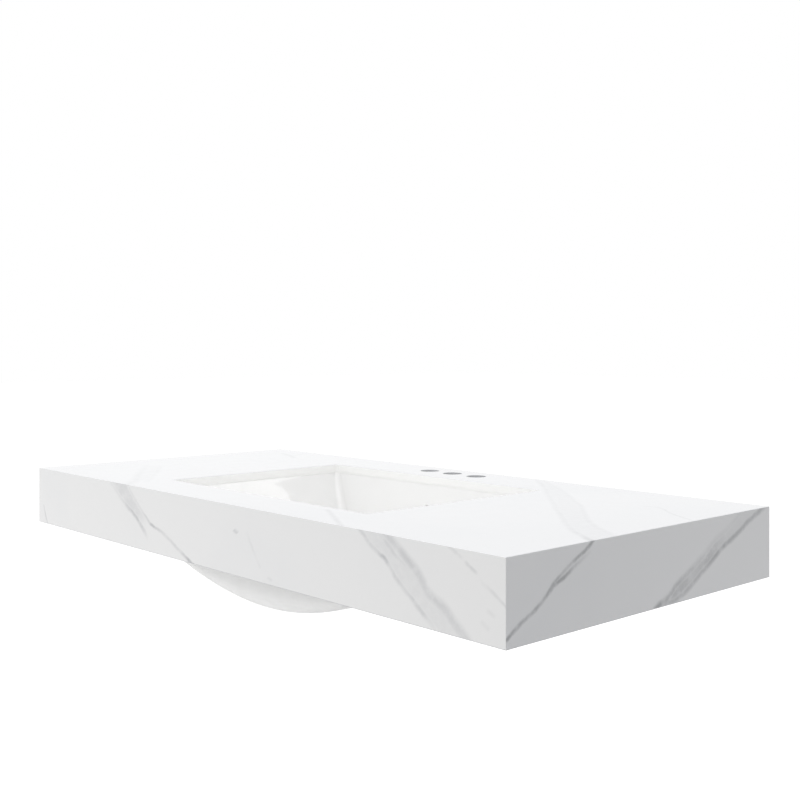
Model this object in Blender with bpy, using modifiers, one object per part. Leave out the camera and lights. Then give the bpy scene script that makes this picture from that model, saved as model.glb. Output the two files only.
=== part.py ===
"""Wall-hung bathroom vanity top: mitred stone boards with an undermount china basin.

All sizes are in metres. The wall is the plane Y = 0, the front faces -Y, X runs along the wall
and Z is up. The origin is on the wall face of the back rail, on the centre line and halfway
down the apron.
"""

import math

import bmesh
import bpy
from mathutils import Vector

# Outside of the top
TOP_LENGTH = 1.186
TOP_DEPTH = 0.562
APRON_HEIGHT = 0.1016

# Stone boards
STONE = 0.012
GAP = 0.0003  # glue line of a mitre, and the clearance between pieces that touch
ARRIS = 0.0008
BATTEN = 0.012
BATTEN_ARRIS = 0.001

# Basin cut-out in the slab
CUT_LENGTH = 0.516
CUT_FROM_FRONT = 0.089
CUT_FROM_WALL = 0.106
CUT_CORNER = 0.006
CUT_ARRIS = 0.0015

# Tap holes
TAP_HOLES = 3
TAP_SPACING = 0.059
TAP_RADIUS = 0.0175
TAP_FROM_WALL = 0.049
TAP_ARRIS = 0.0008

# Basin
RIM_SETBACK = 0.0015
RIM_ROLL = 0.002
RIM_CORNER = 0.011
FOOT_CORNER = 0.018
OUTSIDE_CORNER = 0.017
CHINA = 0.011
FLANGE = 0.010
FLANGE_REACH = 0.026
FLANGE_COVE = 0.004
BOWL_DEPTH = 0.154
END_DRAFT = math.radians(5)
END_BOW = 0.237  # radius that the end walls bow to, seen from the front
END_FILLET = 0.072
SIDE_DRAFT = math.radians(0.5)
SIDE_BOW = 6.000
SIDE_FILLET = 0.0225
FLOOR_BOW_LONG = 0.570  # radius of the floor along the basin
FLOOR_BOW_WIDE = 6.000  # and across it

# Basin drain
DRAIN_RADIUS = 0.0225
DRAIN_SEAT_RADIUS = 0.033
DRAIN_SEAT_DEPTH = 0.003
BOSS_RADIUS = 0.036
BOSS_DROP = 0.012

# Basin overflow
OVERFLOW_LENGTH = 0.030
OVERFLOW_HEIGHT = 0.012
OVERFLOW_DEPTH = 0.045
CHANNEL_WIDTH = 0.050
CHANNEL_PROUD = 0.014
CHANNEL_DROP = 0.008
CHANNEL_CORNER = 0.022
CHANNEL_CHINA = 0.007
PASSAGE_WIDTH = 0.034
PASSAGE_BACK = 0.008  # china left behind the bowl's back wall, measured from the rim's edge
PASSAGE_HEIGHT = 0.007

# Seal between basin and slab
SEAL = 0.0015
SEAL_REACH = 0.007

# Clips that hold the basin up
CLIP_SPREAD = 0.380
CLIP_WIDTH = 0.016
CLIP_STEEL = 0.002
CLIP_BEND = 0.0015
CLIP_TOE = 0.010
CLIP_LEG = 0.0195
STUD_OFFSET = 0.010
STUD_RADIUS = 0.0025
STUD_DROP = 0.030
HOLE_PLAY = 0.0005
ANCHOR_RADIUS = 0.005
ANCHOR_DEPTH = 0.007
NUT_RADIUS = 0.005
NUT_FOOT_RADIUS = 0.0042
NUT_HEIGHT = 0.006
WING_REACH = 0.013
WING_ROOT = 0.0035
WING_HEIGHT = 0.009
WING_STEEL = 0.002
WING_CORNER = 0.0035

# Wall brackets
BRACKET_FROM_END = 0.163
BRACKET_FROM_FRONT = 0.142
BRACKET_WIDTH = 0.040
BRACKET_STEEL = 0.005
BRACKET_BEND = 0.008
BRACKET_LEG = 0.070
GUSSET = 0.056
WALL_HOLE_RADIUS = 0.0045
WALL_HOLE_DROP = 0.050
WALL_HOLE_SPREAD = 0.024
BOLT_FROM_TIP = 0.030
BOLT_FROM_RAIL = 0.090
BOLT_RADIUS = 0.003
BOLT_HEAD_RADIUS = 0.0058
BOLT_HEAD_HEIGHT = 0.0036
BOLT_HEAD_ROUND = 0.001
BOLT_REACH = 0.006
INSERT_RADIUS = 0.0045
INSERT_DEPTH = 0.008

# How finely round forms are stepped
OVERRUN = 0.004  # how far a cutter runs past what it cuts
MERGE = 0.00001
SEAM = 0.00005  # points of the basin closer than this become one
ARRIS_STEPS = 2
CORNER_STEPS = 6
LONG_STEPS = 12
WIDE_STEPS = 8
WALL_STEPS = 12
FLOOR_STEPS = 4
ROLL_STEPS = 2
HOLE_STEPS = 40
SMALL_STEPS = 20
SETTLE_STEPS = 8  # rounds in which a wall's foot settles on the bowed floor
SHARP_ANGLE = math.radians(35)
ROUND = 1 / 2  # a bevel's profile that is a quarter circle

# Places that follow from the sizes
HALF_LENGTH = TOP_LENGTH / 2
FRONT_Y = -TOP_DEPTH
TOP_Z = APRON_HEIGHT / 2
FOOT_Z = TOP_Z - APRON_HEIGHT
UNDER_Z = TOP_Z - STONE  # underside of the slab
RAIL_FACE_Y = -STONE  # front face of the back rail
CUT_WIDTH = TOP_DEPTH - CUT_FROM_FRONT - CUT_FROM_WALL
BASIN_Y = FRONT_Y + CUT_FROM_FRONT + CUT_WIDTH / 2
RIM_DROP = GAP + SEAL + GAP  # slab's underside to the basin's rim
RIM_Z = UNDER_Z - RIM_DROP
RIM_HALF_LENGTH = CUT_LENGTH / 2 + RIM_SETBACK
RIM_HALF_WIDTH = CUT_WIDTH / 2 + RIM_SETBACK
FLANGE_HALF_LENGTH = RIM_HALF_LENGTH + FLANGE_REACH
FLANGE_HALF_WIDTH = RIM_HALF_WIDTH + FLANGE_REACH
CLIP_TOP = -(RIM_DROP + FLANGE + GAP)  # upper face of a clip, from the slab's underside
NUT_TOP = CLIP_TOP - CLIP_STEEL - GAP
BRACKET_X = HALF_LENGTH - BRACKET_FROM_END
BRACKET_ARM = TOP_DEPTH - STONE - BRACKET_FROM_FRONT
BOLTS_ALONG = (BOLT_FROM_RAIL, BRACKET_ARM - BOLT_FROM_TIP)  # from the rail's face


def clear_scene():
    for each in list(bpy.data.objects):
        bpy.data.objects.remove(each)


def new_collection(name):
    made = bpy.data.collections.new(name)
    bpy.context.scene.collection.children.link(made)
    return made


def new_material(name, colour, roughness, metallic=0.0):
    made = bpy.data.materials.new(name)
    made.use_nodes = True
    shader = made.node_tree.nodes["Principled BSDF"]
    shader.inputs["Base Color"].default_value = (*colour, 1.0)
    shader.inputs["Roughness"].default_value = roughness
    shader.inputs["Metallic"].default_value = metallic
    return made


clear_scene()
PARTS = new_collection("vanity_top")
CUTTERS = new_collection("cutters")
CUTTERS.hide_render = True


# Shapes

def new_object(name, mesh, group):
    made = bpy.data.objects.new(name, mesh)
    group.objects.link(made)
    if group == CUTTERS:
        made.hide_render = True
        made.display_type = "WIRE"
    return made


def from_bmesh(name, bm, group):
    mesh = bpy.data.meshes.new(name)
    bm.to_mesh(mesh)
    bm.free()
    return new_object(name, mesh, group)


def box(name, low, high, group=None):
    """A box from one corner to the opposite one."""
    low, high = Vector(low), Vector(high)
    bm = bmesh.new()
    bmesh.ops.create_cube(bm, size=1)
    bmesh.ops.scale(bm, vec=high - low, verts=bm.verts)
    bmesh.ops.translate(bm, vec=(low + high) / 2, verts=bm.verts)
    return from_bmesh(name, bm, group or PARTS)


def turned(name, profile, steps, closed=False, group=None):
    """A profile of (radius, height) points turned about Z, its outer side run from the top down."""
    mesh = bpy.data.meshes.new(name)
    edges = [(i, i + 1) for i in range(len(profile) - 1)]
    if closed:
        edges.append((len(profile) - 1, 0))
    mesh.from_pydata([(radius, 0, height) for radius, height in profile], edges, [])
    made = new_object(name, mesh, group or PARTS)
    screw = made.modifiers.new("turn", "SCREW")
    screw.steps = screw.render_steps = steps
    screw.use_merge_vertices = True
    screw.merge_threshold = MERGE
    return made


def rod(name, radius, top, bottom, steps, group=None):
    return turned(name, [(0, top), (radius, top), (radius, bottom), (0, bottom)], steps, group=group)


def tube(name, radius, bore, top, bottom, steps):
    profile = [(radius, top), (radius, bottom), (bore, bottom), (bore, top)]
    return turned(name, profile, steps, closed=True)


def ring_solid(name, rings, group):
    """A closed solid through rings of as many points each, in order."""
    bm = bmesh.new()
    loops = [[bm.verts.new(point) for point in ring] for ring in rings]
    for upper, lower in zip(loops, loops[1:]):
        for i, corner in enumerate(upper):
            j = (i + 1) % len(upper)
            bm.faces.new((corner, lower[i], lower[j], upper[j]))
    bm.faces.new(loops[0])
    bm.faces.new(list(reversed(loops[-1])))
    bmesh.ops.recalc_face_normals(bm, faces=bm.faces)
    bmesh.ops.triangulate(bm, faces=bm.faces)
    return from_bmesh(name, bm, group)


def plate(name, outlines, thickness, group=None):
    """A flat plate about Z = 0: the first outline is its edge, and any others are holes."""
    curve = bpy.data.curves.new(name, "CURVE")
    curve.dimensions = "2D"
    curve.fill_mode = "BOTH"
    curve.extrude = thickness / 2
    for outline in outlines:
        spline = curve.splines.new("POLY")
        spline.points.add(len(outline) - 1)
        spline.use_cyclic_u = True
        for point, (x, y) in zip(spline.points, outline):
            point.co = (x, y, 0, 1)
    flat = new_object(name + "_outline", curve, CUTTERS)
    bpy.context.view_layer.update()
    mesh = bpy.data.meshes.new_from_object(flat.evaluated_get(bpy.context.evaluated_depsgraph_get()))
    bpy.data.objects.remove(flat)
    bm = bmesh.new()
    bm.from_mesh(mesh)
    bpy.data.meshes.remove(mesh)
    bmesh.ops.remove_doubles(bm, verts=bm.verts, dist=MERGE)
    bmesh.ops.recalc_face_normals(bm, faces=bm.faces)
    return from_bmesh(name, bm, group or PARTS)


def bent_strip(name, path, width, thickness, bend):
    """A strip of sheet whose left side, seen along +Y, follows a path of (x, z) points."""
    bm = bmesh.new()
    near = [bm.verts.new((x, -width / 2, z)) for x, z in path]
    far = [bm.verts.new((x, width / 2, z)) for x, z in path]
    for i in range(len(path) - 1):
        bm.faces.new((near[i], near[i + 1], far[i + 1], far[i]))
    made = from_bmesh(name, bm, PARTS)
    bevel(made, bend, ARRIS_STEPS + 1)
    shell = made.modifiers.new("sheet", "SOLIDIFY")
    shell.thickness = thickness
    shell.offset = -1
    shell.use_even_offset = True
    return made


def bevel(target, width, steps):
    modifier = target.modifiers.new("rounding", "BEVEL")
    modifier.width = width
    modifier.segments = steps
    modifier.limit_method = "ANGLE"


def boolean(target, other, operation="DIFFERENCE"):
    modifier = target.modifiers.new(operation.lower(), "BOOLEAN")
    modifier.operation = operation
    modifier.object = other


def finished(target, material):
    """The object with its modifiers applied, shaded smooth but for its sharp edges."""
    bpy.context.view_layer.update()
    graph = bpy.context.evaluated_depsgraph_get()
    mesh = bpy.data.meshes.new_from_object(target.evaluated_get(graph))
    target.modifiers.clear()
    target.data = mesh
    mesh.name = target.name
    mesh.materials.clear()
    mesh.materials.append(material)
    mesh.shade_smooth()
    mesh.set_sharp_from_angle(angle=SHARP_ANGLE)
    return target


def rounded_rectangle(half_x, half_y, radius):
    """Points, anticlockwise from the start of the +X side."""
    points = []
    corner_x, corner_y = half_x - radius, half_y - radius
    for quarter, (cos, sin) in enumerate(((1, 0), (0, 1), (-1, 0), (0, -1))):
        along = (corner_y, corner_x)[quarter % 2]
        out = (half_x, half_y)[quarter % 2]
        steps = (WIDE_STEPS, LONG_STEPS)[quarter % 2]
        for i in range(steps):
            slide = along * (2 * i / steps - 1)
            points.append((out * cos - slide * sin, out * sin + slide * cos))
        centre = out - radius
        for i in range(CORNER_STEPS):
            angle = i / CORNER_STEPS * math.pi / 2
            reach, rise = centre + radius * math.cos(angle), along + radius * math.sin(angle)
            points.append((reach * cos - rise * sin, reach * sin + rise * cos))
    return points


def level_ring(half_x, half_y, radius, z):
    """A rounded rectangle at one height over the middle of the basin."""
    return [(x, BASIN_Y + y, z) for x, y in rounded_rectangle(half_x, half_y, radius)]


# Stone

def eased_block():
    """The outside of the glued top, with its arrises eased: every board is trimmed to it."""
    block = box("eased_block", (-HALF_LENGTH, FRONT_Y, FOOT_Z), (HALF_LENGTH, 0, TOP_Z), CUTTERS)
    bevel(block, ARRIS, ARRIS_STEPS)
    return block


def mitred_board(name, low, high, inner, mitred):
    """A board cut at 45 degrees on its mitred sides, each drawn back by half a glue line.

    Sides are named by direction, such as "+x". The inner face stays where it is. The other
    outer sides run past the eased block, which trims them.
    """
    outside = {"-": (-HALF_LENGTH, FRONT_Y, FOOT_Z), "+": (HALF_LENGTH, 0, TOP_Z)}
    ends = {"-": list(low), "+": list(high)}
    for end, corner in ends.items():
        outwards = OVERRUN if end == "+" else -OVERRUN
        for axis, letter in enumerate("xyz"):
            on_outside = math.isclose(corner[axis], outside[end][axis], abs_tol=MERGE)
            if end + letter != inner and on_outside:
                corner[axis] += outwards
    for end, letter in mitred:
        draw = GAP / math.sqrt(2)
        ends[end]["xyz".index(letter)] += -draw if end == "+" else draw
    board = box(name, ends["-"], ends["+"])
    middle = (Vector(ends["-"]) + Vector(ends["+"])) / 2
    for vertex in board.data.vertices:
        here = {("+" if vertex.co[i] > middle[i] else "-") + letter for i, letter in enumerate("xyz")}
        if inner in here:
            for end, letter in here.intersection(mitred):
                vertex.co["xyz".index(letter)] += (STONE + OVERRUN) * (-1 if end == "+" else 1)
    return board


def cut_out():
    """Cutter for the basin's cut-out, wider at the top for the eased arris."""
    half_x, half_y = CUT_LENGTH / 2, CUT_WIDTH / 2
    flare = CUT_ARRIS + OVERRUN
    return ring_solid("cut_out", [
        level_ring(half_x + flare, half_y + flare, CUT_CORNER + flare, TOP_Z + OVERRUN),
        level_ring(half_x, half_y, CUT_CORNER, TOP_Z - CUT_ARRIS),
        level_ring(half_x, half_y, CUT_CORNER, UNDER_Z - OVERRUN),
    ], CUTTERS)


def tap_hole(index):
    """Cutter for one tap hole, wider at the top for the eased arris."""
    flare = TAP_ARRIS + OVERRUN
    profile = [
        (0, TOP_Z + OVERRUN), (TAP_RADIUS + flare, TOP_Z + OVERRUN), (TAP_RADIUS, TOP_Z - TAP_ARRIS),
        (TAP_RADIUS, UNDER_Z - OVERRUN), (0, UNDER_Z - OVERRUN),
    ]
    hole = turned(f"tap_hole_{index + 1}", profile, HOLE_STEPS, group=CUTTERS)
    hole.location = ((index - (TAP_HOLES - 1) / 2) * TAP_SPACING, -TAP_FROM_WALL, 0)
    return hole


def blind_hole(name, radius, depth, place):
    """Cutter for a hole drilled up into the slab, with room for the brass in it."""
    hole = rod(name, radius + GAP, UNDER_Z + depth + GAP, UNDER_Z - OVERRUN, SMALL_STEPS, CUTTERS)
    hole.location = (*place, 0)
    return hole


def make_top_slab(block, stone):
    slab = mitred_board(
        "top_slab", (-HALF_LENGTH, FRONT_Y, UNDER_Z), (HALF_LENGTH, 0, TOP_Z),
        inner="-z", mitred=["-x", "+x", "-y"],
    )
    boolean(slab, block, "INTERSECT")
    boolean(slab, cut_out())
    for index in range(TAP_HOLES):
        boolean(slab, tap_hole(index))
    for number, (place, out, _) in enumerate(clip_places(), 1):
        stud = place + out * STUD_OFFSET
        boolean(slab, blind_hole(f"anchor_hole_{number}", ANCHOR_RADIUS, ANCHOR_DEPTH, stud))
    for number, (side, along) in enumerate(bolt_places(), 1):
        place = (side * BRACKET_X, RAIL_FACE_Y - along)
        boolean(slab, blind_hole(f"insert_hole_{number}", INSERT_RADIUS, INSERT_DEPTH, place))
    finished(slab, stone)


def make_aprons(block, stone):
    front = mitred_board(
        "front_apron", (-HALF_LENGTH, FRONT_Y, FOOT_Z), (HALF_LENGTH, FRONT_Y + STONE, TOP_Z),
        inner="+y", mitred=["-x", "+x", "+z"],
    )
    left = mitred_board(
        "left_apron", (-HALF_LENGTH, FRONT_Y, FOOT_Z), (STONE - HALF_LENGTH, 0, TOP_Z),
        inner="+x", mitred=["-y", "+z"],
    )
    right = mitred_board(
        "right_apron", (HALF_LENGTH - STONE, FRONT_Y, FOOT_Z), (HALF_LENGTH, 0, TOP_Z),
        inner="-x", mitred=["-y", "+z"],
    )
    for apron in (front, left, right):
        boolean(apron, block, "INTERSECT")
        finished(apron, stone)


def make_back_rail(block, stone):
    half = HALF_LENGTH - STONE - GAP
    rail = box("back_rail", (-half, RAIL_FACE_Y, FOOT_Z - OVERRUN), (half, OVERRUN, UNDER_Z - GAP))
    boolean(rail, block, "INTERSECT")
    for side in (-1, 1):
        for across in (-1, 1):
            hole = rod("rail_hole", WALL_HOLE_RADIUS, STONE + OVERRUN, -OVERRUN, SMALL_STEPS, CUTTERS)
            hole.rotation_euler.x = math.pi / 2
            x = side * BRACKET_X + across * WALL_HOLE_SPREAD / 2
            hole.location = (x, 0, UNDER_Z - WALL_HOLE_DROP)
            boolean(rail, hole)
    finished(rail, stone)


def make_battens(stone):
    """Strips in the inner corners, under the slab and against each apron."""
    top = UNDER_Z - GAP
    half = HALF_LENGTH - STONE - GAP
    front_y = FRONT_Y + STONE + GAP
    back_of_front = front_y + BATTEN
    box("front_batten", (-half, front_y, top - BATTEN), (half, back_of_front, top))
    side_y = (back_of_front + GAP, RAIL_FACE_Y - GAP)
    box("left_batten", (-half, side_y[0], top - BATTEN), (BATTEN - half, side_y[1], top))
    box("right_batten", (half - BATTEN, side_y[0], top - BATTEN), (half, side_y[1], top))
    for name in ("front_batten", "left_batten", "right_batten"):
        batten = PARTS.objects[name]
        bevel(batten, BATTEN_ARRIS, 1)
        finished(batten, stone)


# Basin

def floor_depth(x, y):
    """Depth of the bowl's floor below its rim, x and y from the drain."""
    return BOWL_DEPTH - x * x / (2 * FLOOR_BOW_LONG) - y * y / (2 * FLOOR_BOW_WIDE)


def wall_shares():
    """How far down the wall each ring is, as shares of its depth, closest together at its foot."""
    return [math.sin(i / WALL_STEPS * math.pi / 2) for i in range(WALL_STEPS + 1)]


def wall_insets(half, draft, bow, fillet, floor_bow, outset):
    """How far each ring has come in, down a bowed wall and round the fillet that meets the floor."""
    slope = math.tan(draft)
    reach, foot = half, BOWL_DEPTH
    for _ in range(SETTLE_STEPS):
        depth = BOWL_DEPTH + outset - reach * reach / (2 * floor_bow)
        lean = math.atan(slope + foot / bow)
        level = math.pi / 2 - math.atan(reach / floor_bow)
        foot = depth - fillet * (math.sin(level) - math.sin(lean))
        foot_inset = slope * foot + foot * foot / (2 * bow)
        reach = half - foot_inset - fillet * (math.cos(lean) - math.cos(level))
    insets = []
    for share in wall_shares():
        down = share * depth
        if down < foot:
            insets.append(slope * down + down * down / (2 * bow))
        else:
            turn = math.asin(min(math.sin(lean) + (down - foot) / fillet, math.sin(level)))
            insets.append(foot_inset + fillet * (math.cos(lean) - math.cos(turn)))
    return insets


def bowl_rings(outset):
    """Rings down the bowl's wall and over its floor, this far outside its inner face."""
    half_x, half_y = RIM_HALF_LENGTH + outset, RIM_HALF_WIDTH + outset
    ends = wall_insets(half_x, END_DRAFT, END_BOW, END_FILLET + outset, FLOOR_BOW_LONG, outset)
    sides = wall_insets(half_y, SIDE_DRAFT, SIDE_BOW, SIDE_FILLET + outset, FLOOR_BOW_WIDE, outset)
    rim_corner = OUTSIDE_CORNER if outset else RIM_CORNER
    foot_corner = OUTSIDE_CORNER if outset else FOOT_CORNER
    foot = rounded_rectangle(half_x - ends[-1], half_y - sides[-1], foot_corner)
    rings = []
    for share, end_inset, side_inset in zip(wall_shares(), ends, sides):
        corner = rim_corner + (foot_corner - rim_corner) * share
        outline = rounded_rectangle(half_x - end_inset, half_y - side_inset, corner)
        rings.append([
            (x, y, -share * (floor_depth(foot_x, foot_y) + outset))
            for (x, y), (foot_x, foot_y) in zip(outline, foot)
        ])
    drain = round_ring(BOSS_RADIUS if outset else DRAIN_SEAT_RADIUS, 0)
    for k in range(1, FLOOR_STEPS + 1):
        inwards = k / FLOOR_STEPS
        ring = []
        for (foot_x, foot_y), (drain_x, drain_y, _) in zip(foot, drain):
            x = foot_x + (drain_x - foot_x) * inwards
            y = foot_y + (drain_y - foot_y) * inwards
            ring.append((x, y, -(floor_depth(x, y) + outset)))
        rings.append(ring)
    return rings


def round_ring(radius, drop):
    """A circle over the drain, with as many points as a rounded rectangle and in step with it."""
    count = 2 * (LONG_STEPS + WIDE_STEPS) + 4 * CORNER_STEPS
    ring = []
    for i in range(count):
        angle = (i - WIDE_STEPS / 2) / count * 2 * math.pi
        ring.append((radius * math.cos(angle), radius * math.sin(angle), -drop))
    return ring


def placed(rings):
    return [[(x, BASIN_Y + y, RIM_Z + z) for x, y, z in ring] for ring in rings]


def flat_ring(half_x, half_y, corner, drop):
    return [(x, y, -drop) for x, y in rounded_rectangle(half_x, half_y, corner)]


def basin_outside():
    """Flange, wall, floor and drain boss in one solid, before it is hollowed."""
    flange_corner = RIM_CORNER + FLANGE_REACH
    half_x, half_y = RIM_HALF_LENGTH + CHINA, RIM_HALF_WIDTH + CHINA
    cove_corner = RIM_CORNER + CHINA + FLANGE_COVE
    boss_foot = BOWL_DEPTH + CHINA + BOSS_DROP
    wall = [
        ring for ring in bowl_rings(CHINA)
        if max(z for _, _, z in ring) < -(FLANGE + FLANGE_COVE)
    ]
    rings = [
        flat_ring(FLANGE_HALF_LENGTH, FLANGE_HALF_WIDTH, flange_corner, 0),
        flat_ring(FLANGE_HALF_LENGTH, FLANGE_HALF_WIDTH, flange_corner, FLANGE),
        flat_ring(half_x + FLANGE_COVE, half_y + FLANGE_COVE, cove_corner, FLANGE),
        *wall,
        round_ring(BOSS_RADIUS, boss_foot),
    ]
    return ring_solid("basin", placed(rings), PARTS)


def basin_inside():
    """Cutter for the bowl, the drain's seat and the drain hole."""
    seat = BOWL_DEPTH + DRAIN_SEAT_DEPTH
    below = BOWL_DEPTH + CHINA + BOSS_DROP + OVERRUN
    wide = RIM_ROLL
    rings = [flat_ring(RIM_HALF_LENGTH + wide, RIM_HALF_WIDTH + wide, RIM_CORNER + wide, -OVERRUN)]
    for i in range(ROLL_STEPS + 1):
        angle = i / ROLL_STEPS * math.pi / 2
        out, drop = RIM_ROLL * (1 - math.sin(angle)), RIM_ROLL * (1 - math.cos(angle))
        rings.append(flat_ring(RIM_HALF_LENGTH + out, RIM_HALF_WIDTH + out, RIM_CORNER + out, drop))
    rings += [ring for ring in bowl_rings(0) if max(z for _, _, z in ring) < -RIM_ROLL]
    rings += [
        round_ring(DRAIN_SEAT_RADIUS, seat),
        round_ring(DRAIN_RADIUS, seat),
        round_ring(DRAIN_RADIUS, below),
    ]
    return ring_solid("basin_inside", placed(rings), CUTTERS)


def elbow(name, width, back, front, top, head, foot, corner):
    """A duct's solid, down behind the bowl and then forward under its floor to the drain.

    back and front are distances behind the drain, of the upright run's faces. top, head and
    foot are depths below the rim, of the upright run's top and the forward run's faces.
    """
    outline = [(0, -head), (0, -foot)]
    for i in range(CORNER_STEPS + 1):
        angle = i / CORNER_STEPS * math.pi / 2
        outline.append((
            back - corner + corner * math.sin(angle), -foot + corner - corner * math.cos(angle),
        ))
    outline += [(back, -top), (front, -top), (front, -head)]
    rings = [[(x, BASIN_Y + y, RIM_Z + z) for y, z in outline] for x in (-width / 2, width / 2)]
    return ring_solid(name, rings, CUTTERS)


def overflow_hole():
    """Cutter for the oval hole in the back wall, into the passage behind it."""
    radius = OVERFLOW_HEIGHT / 2
    half = OVERFLOW_LENGTH / 2 - radius
    middle = RIM_Z - OVERFLOW_DEPTH
    outline = []
    for i in range(2 * CORNER_STEPS + 1):
        angle = math.pi * i / (2 * CORNER_STEPS) - math.pi / 2
        outline.append((half + radius * math.cos(angle), radius * math.sin(angle)))
    outline += [(-x, -z) for x, z in outline]
    into_passage = RIM_HALF_WIDTH + PASSAGE_BACK + OVERRUN
    into_bowl = RIM_HALF_WIDTH - OVERFLOW_LENGTH
    rings = [
        [(x, BASIN_Y + y, middle + z) for x, z in outline] for y in (into_bowl, into_passage)
    ]
    return ring_solid("overflow_hole", rings, CUTTERS)


def make_basin(china):
    """The basin, with its overflow passage left open at the flange, where its core is drawn out."""
    basin = basin_outside()
    back = RIM_HALF_WIDTH + CHINA + CHANNEL_PROUD
    foot = BOWL_DEPTH + CHINA + CHANNEL_DROP
    channel = elbow(
        "overflow_channel", CHANNEL_WIDTH, back=back, front=RIM_HALF_WIDTH / 2,
        top=FLANGE / 2, head=BOWL_DEPTH / 2, foot=foot, corner=CHANNEL_CORNER,
    )
    passage_foot = foot - CHANNEL_CHINA
    passage = elbow(
        "overflow_passage", PASSAGE_WIDTH, back=back - CHANNEL_CHINA,
        front=RIM_HALF_WIDTH + PASSAGE_BACK, top=-OVERRUN, head=passage_foot - PASSAGE_HEIGHT,
        foot=passage_foot, corner=CHANNEL_CORNER - CHANNEL_CHINA,
    )
    boolean(basin, channel, "UNION")
    boolean(basin, basin_inside())
    boolean(basin, passage)
    boolean(basin, overflow_hole())
    weld = basin.modifiers.new("weld", "WELD")
    weld.merge_threshold = SEAM
    finished(basin, china)


def make_seal(silicone):
    """The bead that closes the joint between the basin's flange and the slab."""
    outlines = []
    for reach in (SEAL_REACH, RIM_ROLL):
        outlines.append(rounded_rectangle(
            RIM_HALF_LENGTH + reach, RIM_HALF_WIDTH + reach, RIM_CORNER + reach,
        ))
    seal = plate("basin_seal", outlines, SEAL)
    seal.location = (0, BASIN_Y, UNDER_Z - GAP - SEAL / 2)
    finished(seal, silicone)


# Basin clips

def clip_places():
    """For each clip: a point on the flange's edge, the way out from the bowl, and that angle."""
    places = []
    for turn in (0, math.pi):
        out = Vector((math.cos(turn), 0))
        places.append((Vector((0, BASIN_Y)) + out * FLANGE_HALF_LENGTH, out, turn))
    for turn in (math.pi / 2, -math.pi / 2):
        out = Vector((0, math.sin(turn)))
        for side in (-1, 1):
            middle = Vector((side * CLIP_SPREAD / 2, BASIN_Y))
            places.append((middle + out * FLANGE_HALF_WIDTH, out, turn))
    return places


def wing_nut_mesh(steel):
    """A hub with two upright ears, bored for the stud."""
    nut = turned(
        "wing_nut", [(0, 0), (NUT_RADIUS, 0), (NUT_FOOT_RADIUS, -NUT_HEIGHT), (0, -NUT_HEIGHT)],
        SMALL_STEPS,
    )
    for side in (-1, 1):
        inner, outer = side * WING_ROOT, side * WING_REACH
        low = (min(inner, outer), -WING_STEEL / 2, -NUT_HEIGHT - WING_HEIGHT / 2)
        high = (max(inner, outer), WING_STEEL / 2, -NUT_HEIGHT + WING_HEIGHT / 2)
        ear = box("wing", low, high, CUTTERS)
        round_ear(ear, side)
        boolean(nut, ear, "UNION")
    bore = rod("nut_bore", STUD_RADIUS + GAP, OVERRUN, -NUT_HEIGHT - OVERRUN, SMALL_STEPS, CUTTERS)
    boolean(nut, bore)
    return take_mesh(nut, steel)


def round_ear(ear, side):
    """Rounds the ear's two outer corners."""
    bm = bmesh.new()
    bm.from_mesh(ear.data)
    tip = [
        edge for edge in bm.edges
        if all(vertex.co.x * side > WING_REACH - MERGE for vertex in edge.verts)
        and edge.verts[0].co.z == edge.verts[1].co.z
    ]
    bmesh.ops.bevel(
        bm, geom=tip, offset=WING_CORNER, segments=CORNER_STEPS // 2, profile=ROUND, affect="EDGES",
    )
    bm.to_mesh(ear.data)
    bm.free()


def take_mesh(source, material):
    """The finished mesh of an object that was made only to be copied."""
    mesh = finished(source, material).data
    bpy.data.objects.remove(source)
    return mesh


def clip_mesh(steel):
    path = [(-CLIP_TOE, CLIP_TOP), (CLIP_LEG, CLIP_TOP), (CLIP_LEG, -GAP)]
    clip = bent_strip("basin_clip", path, CLIP_WIDTH, CLIP_STEEL, CLIP_BEND)
    radius = STUD_RADIUS + HOLE_PLAY
    hole = rod("clip_hole", radius, CLIP_TOP + OVERRUN, NUT_TOP - OVERRUN, SMALL_STEPS, CUTTERS)
    hole.location.x = STUD_OFFSET
    boolean(clip, hole)
    return take_mesh(clip, steel)


def place_copy(name, mesh, place, turn, out, height):
    """A copy of the mesh, this far out from a place in the direction of the turn."""
    copy = new_object(name, mesh, PARTS)
    x, y = place
    copy.location = (x + out * math.cos(turn), y + out * math.sin(turn), height)
    copy.rotation_euler.z = turn


def make_clips(steel, brass):
    anchor = take_mesh(
        tube("anchor", ANCHOR_RADIUS, STUD_RADIUS + GAP, ANCHOR_DEPTH, 0, SMALL_STEPS), brass
    )
    stud = take_mesh(rod("stud", STUD_RADIUS, ANCHOR_DEPTH - GAP, -STUD_DROP, SMALL_STEPS), steel)
    clip = clip_mesh(steel)
    nut = wing_nut_mesh(steel)
    for number, (place, _, turn) in enumerate(clip_places(), 1):
        place_copy(f"clip_anchor_{number}", anchor, place, turn, STUD_OFFSET, UNDER_Z)
        place_copy(f"clip_stud_{number}", stud, place, turn, STUD_OFFSET, UNDER_Z)
        place_copy(f"basin_clip_{number}", clip, place, turn, 0, UNDER_Z)
        place_copy(f"wing_nut_{number}", nut, place, turn, STUD_OFFSET, UNDER_Z + NUT_TOP)


# Wall brackets

def bolt_places():
    """Side of the centre line and distance from the rail's face, for each bracket bolt."""
    return [(side, along) for side in (-1, 1) for along in BOLTS_ALONG]


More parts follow.
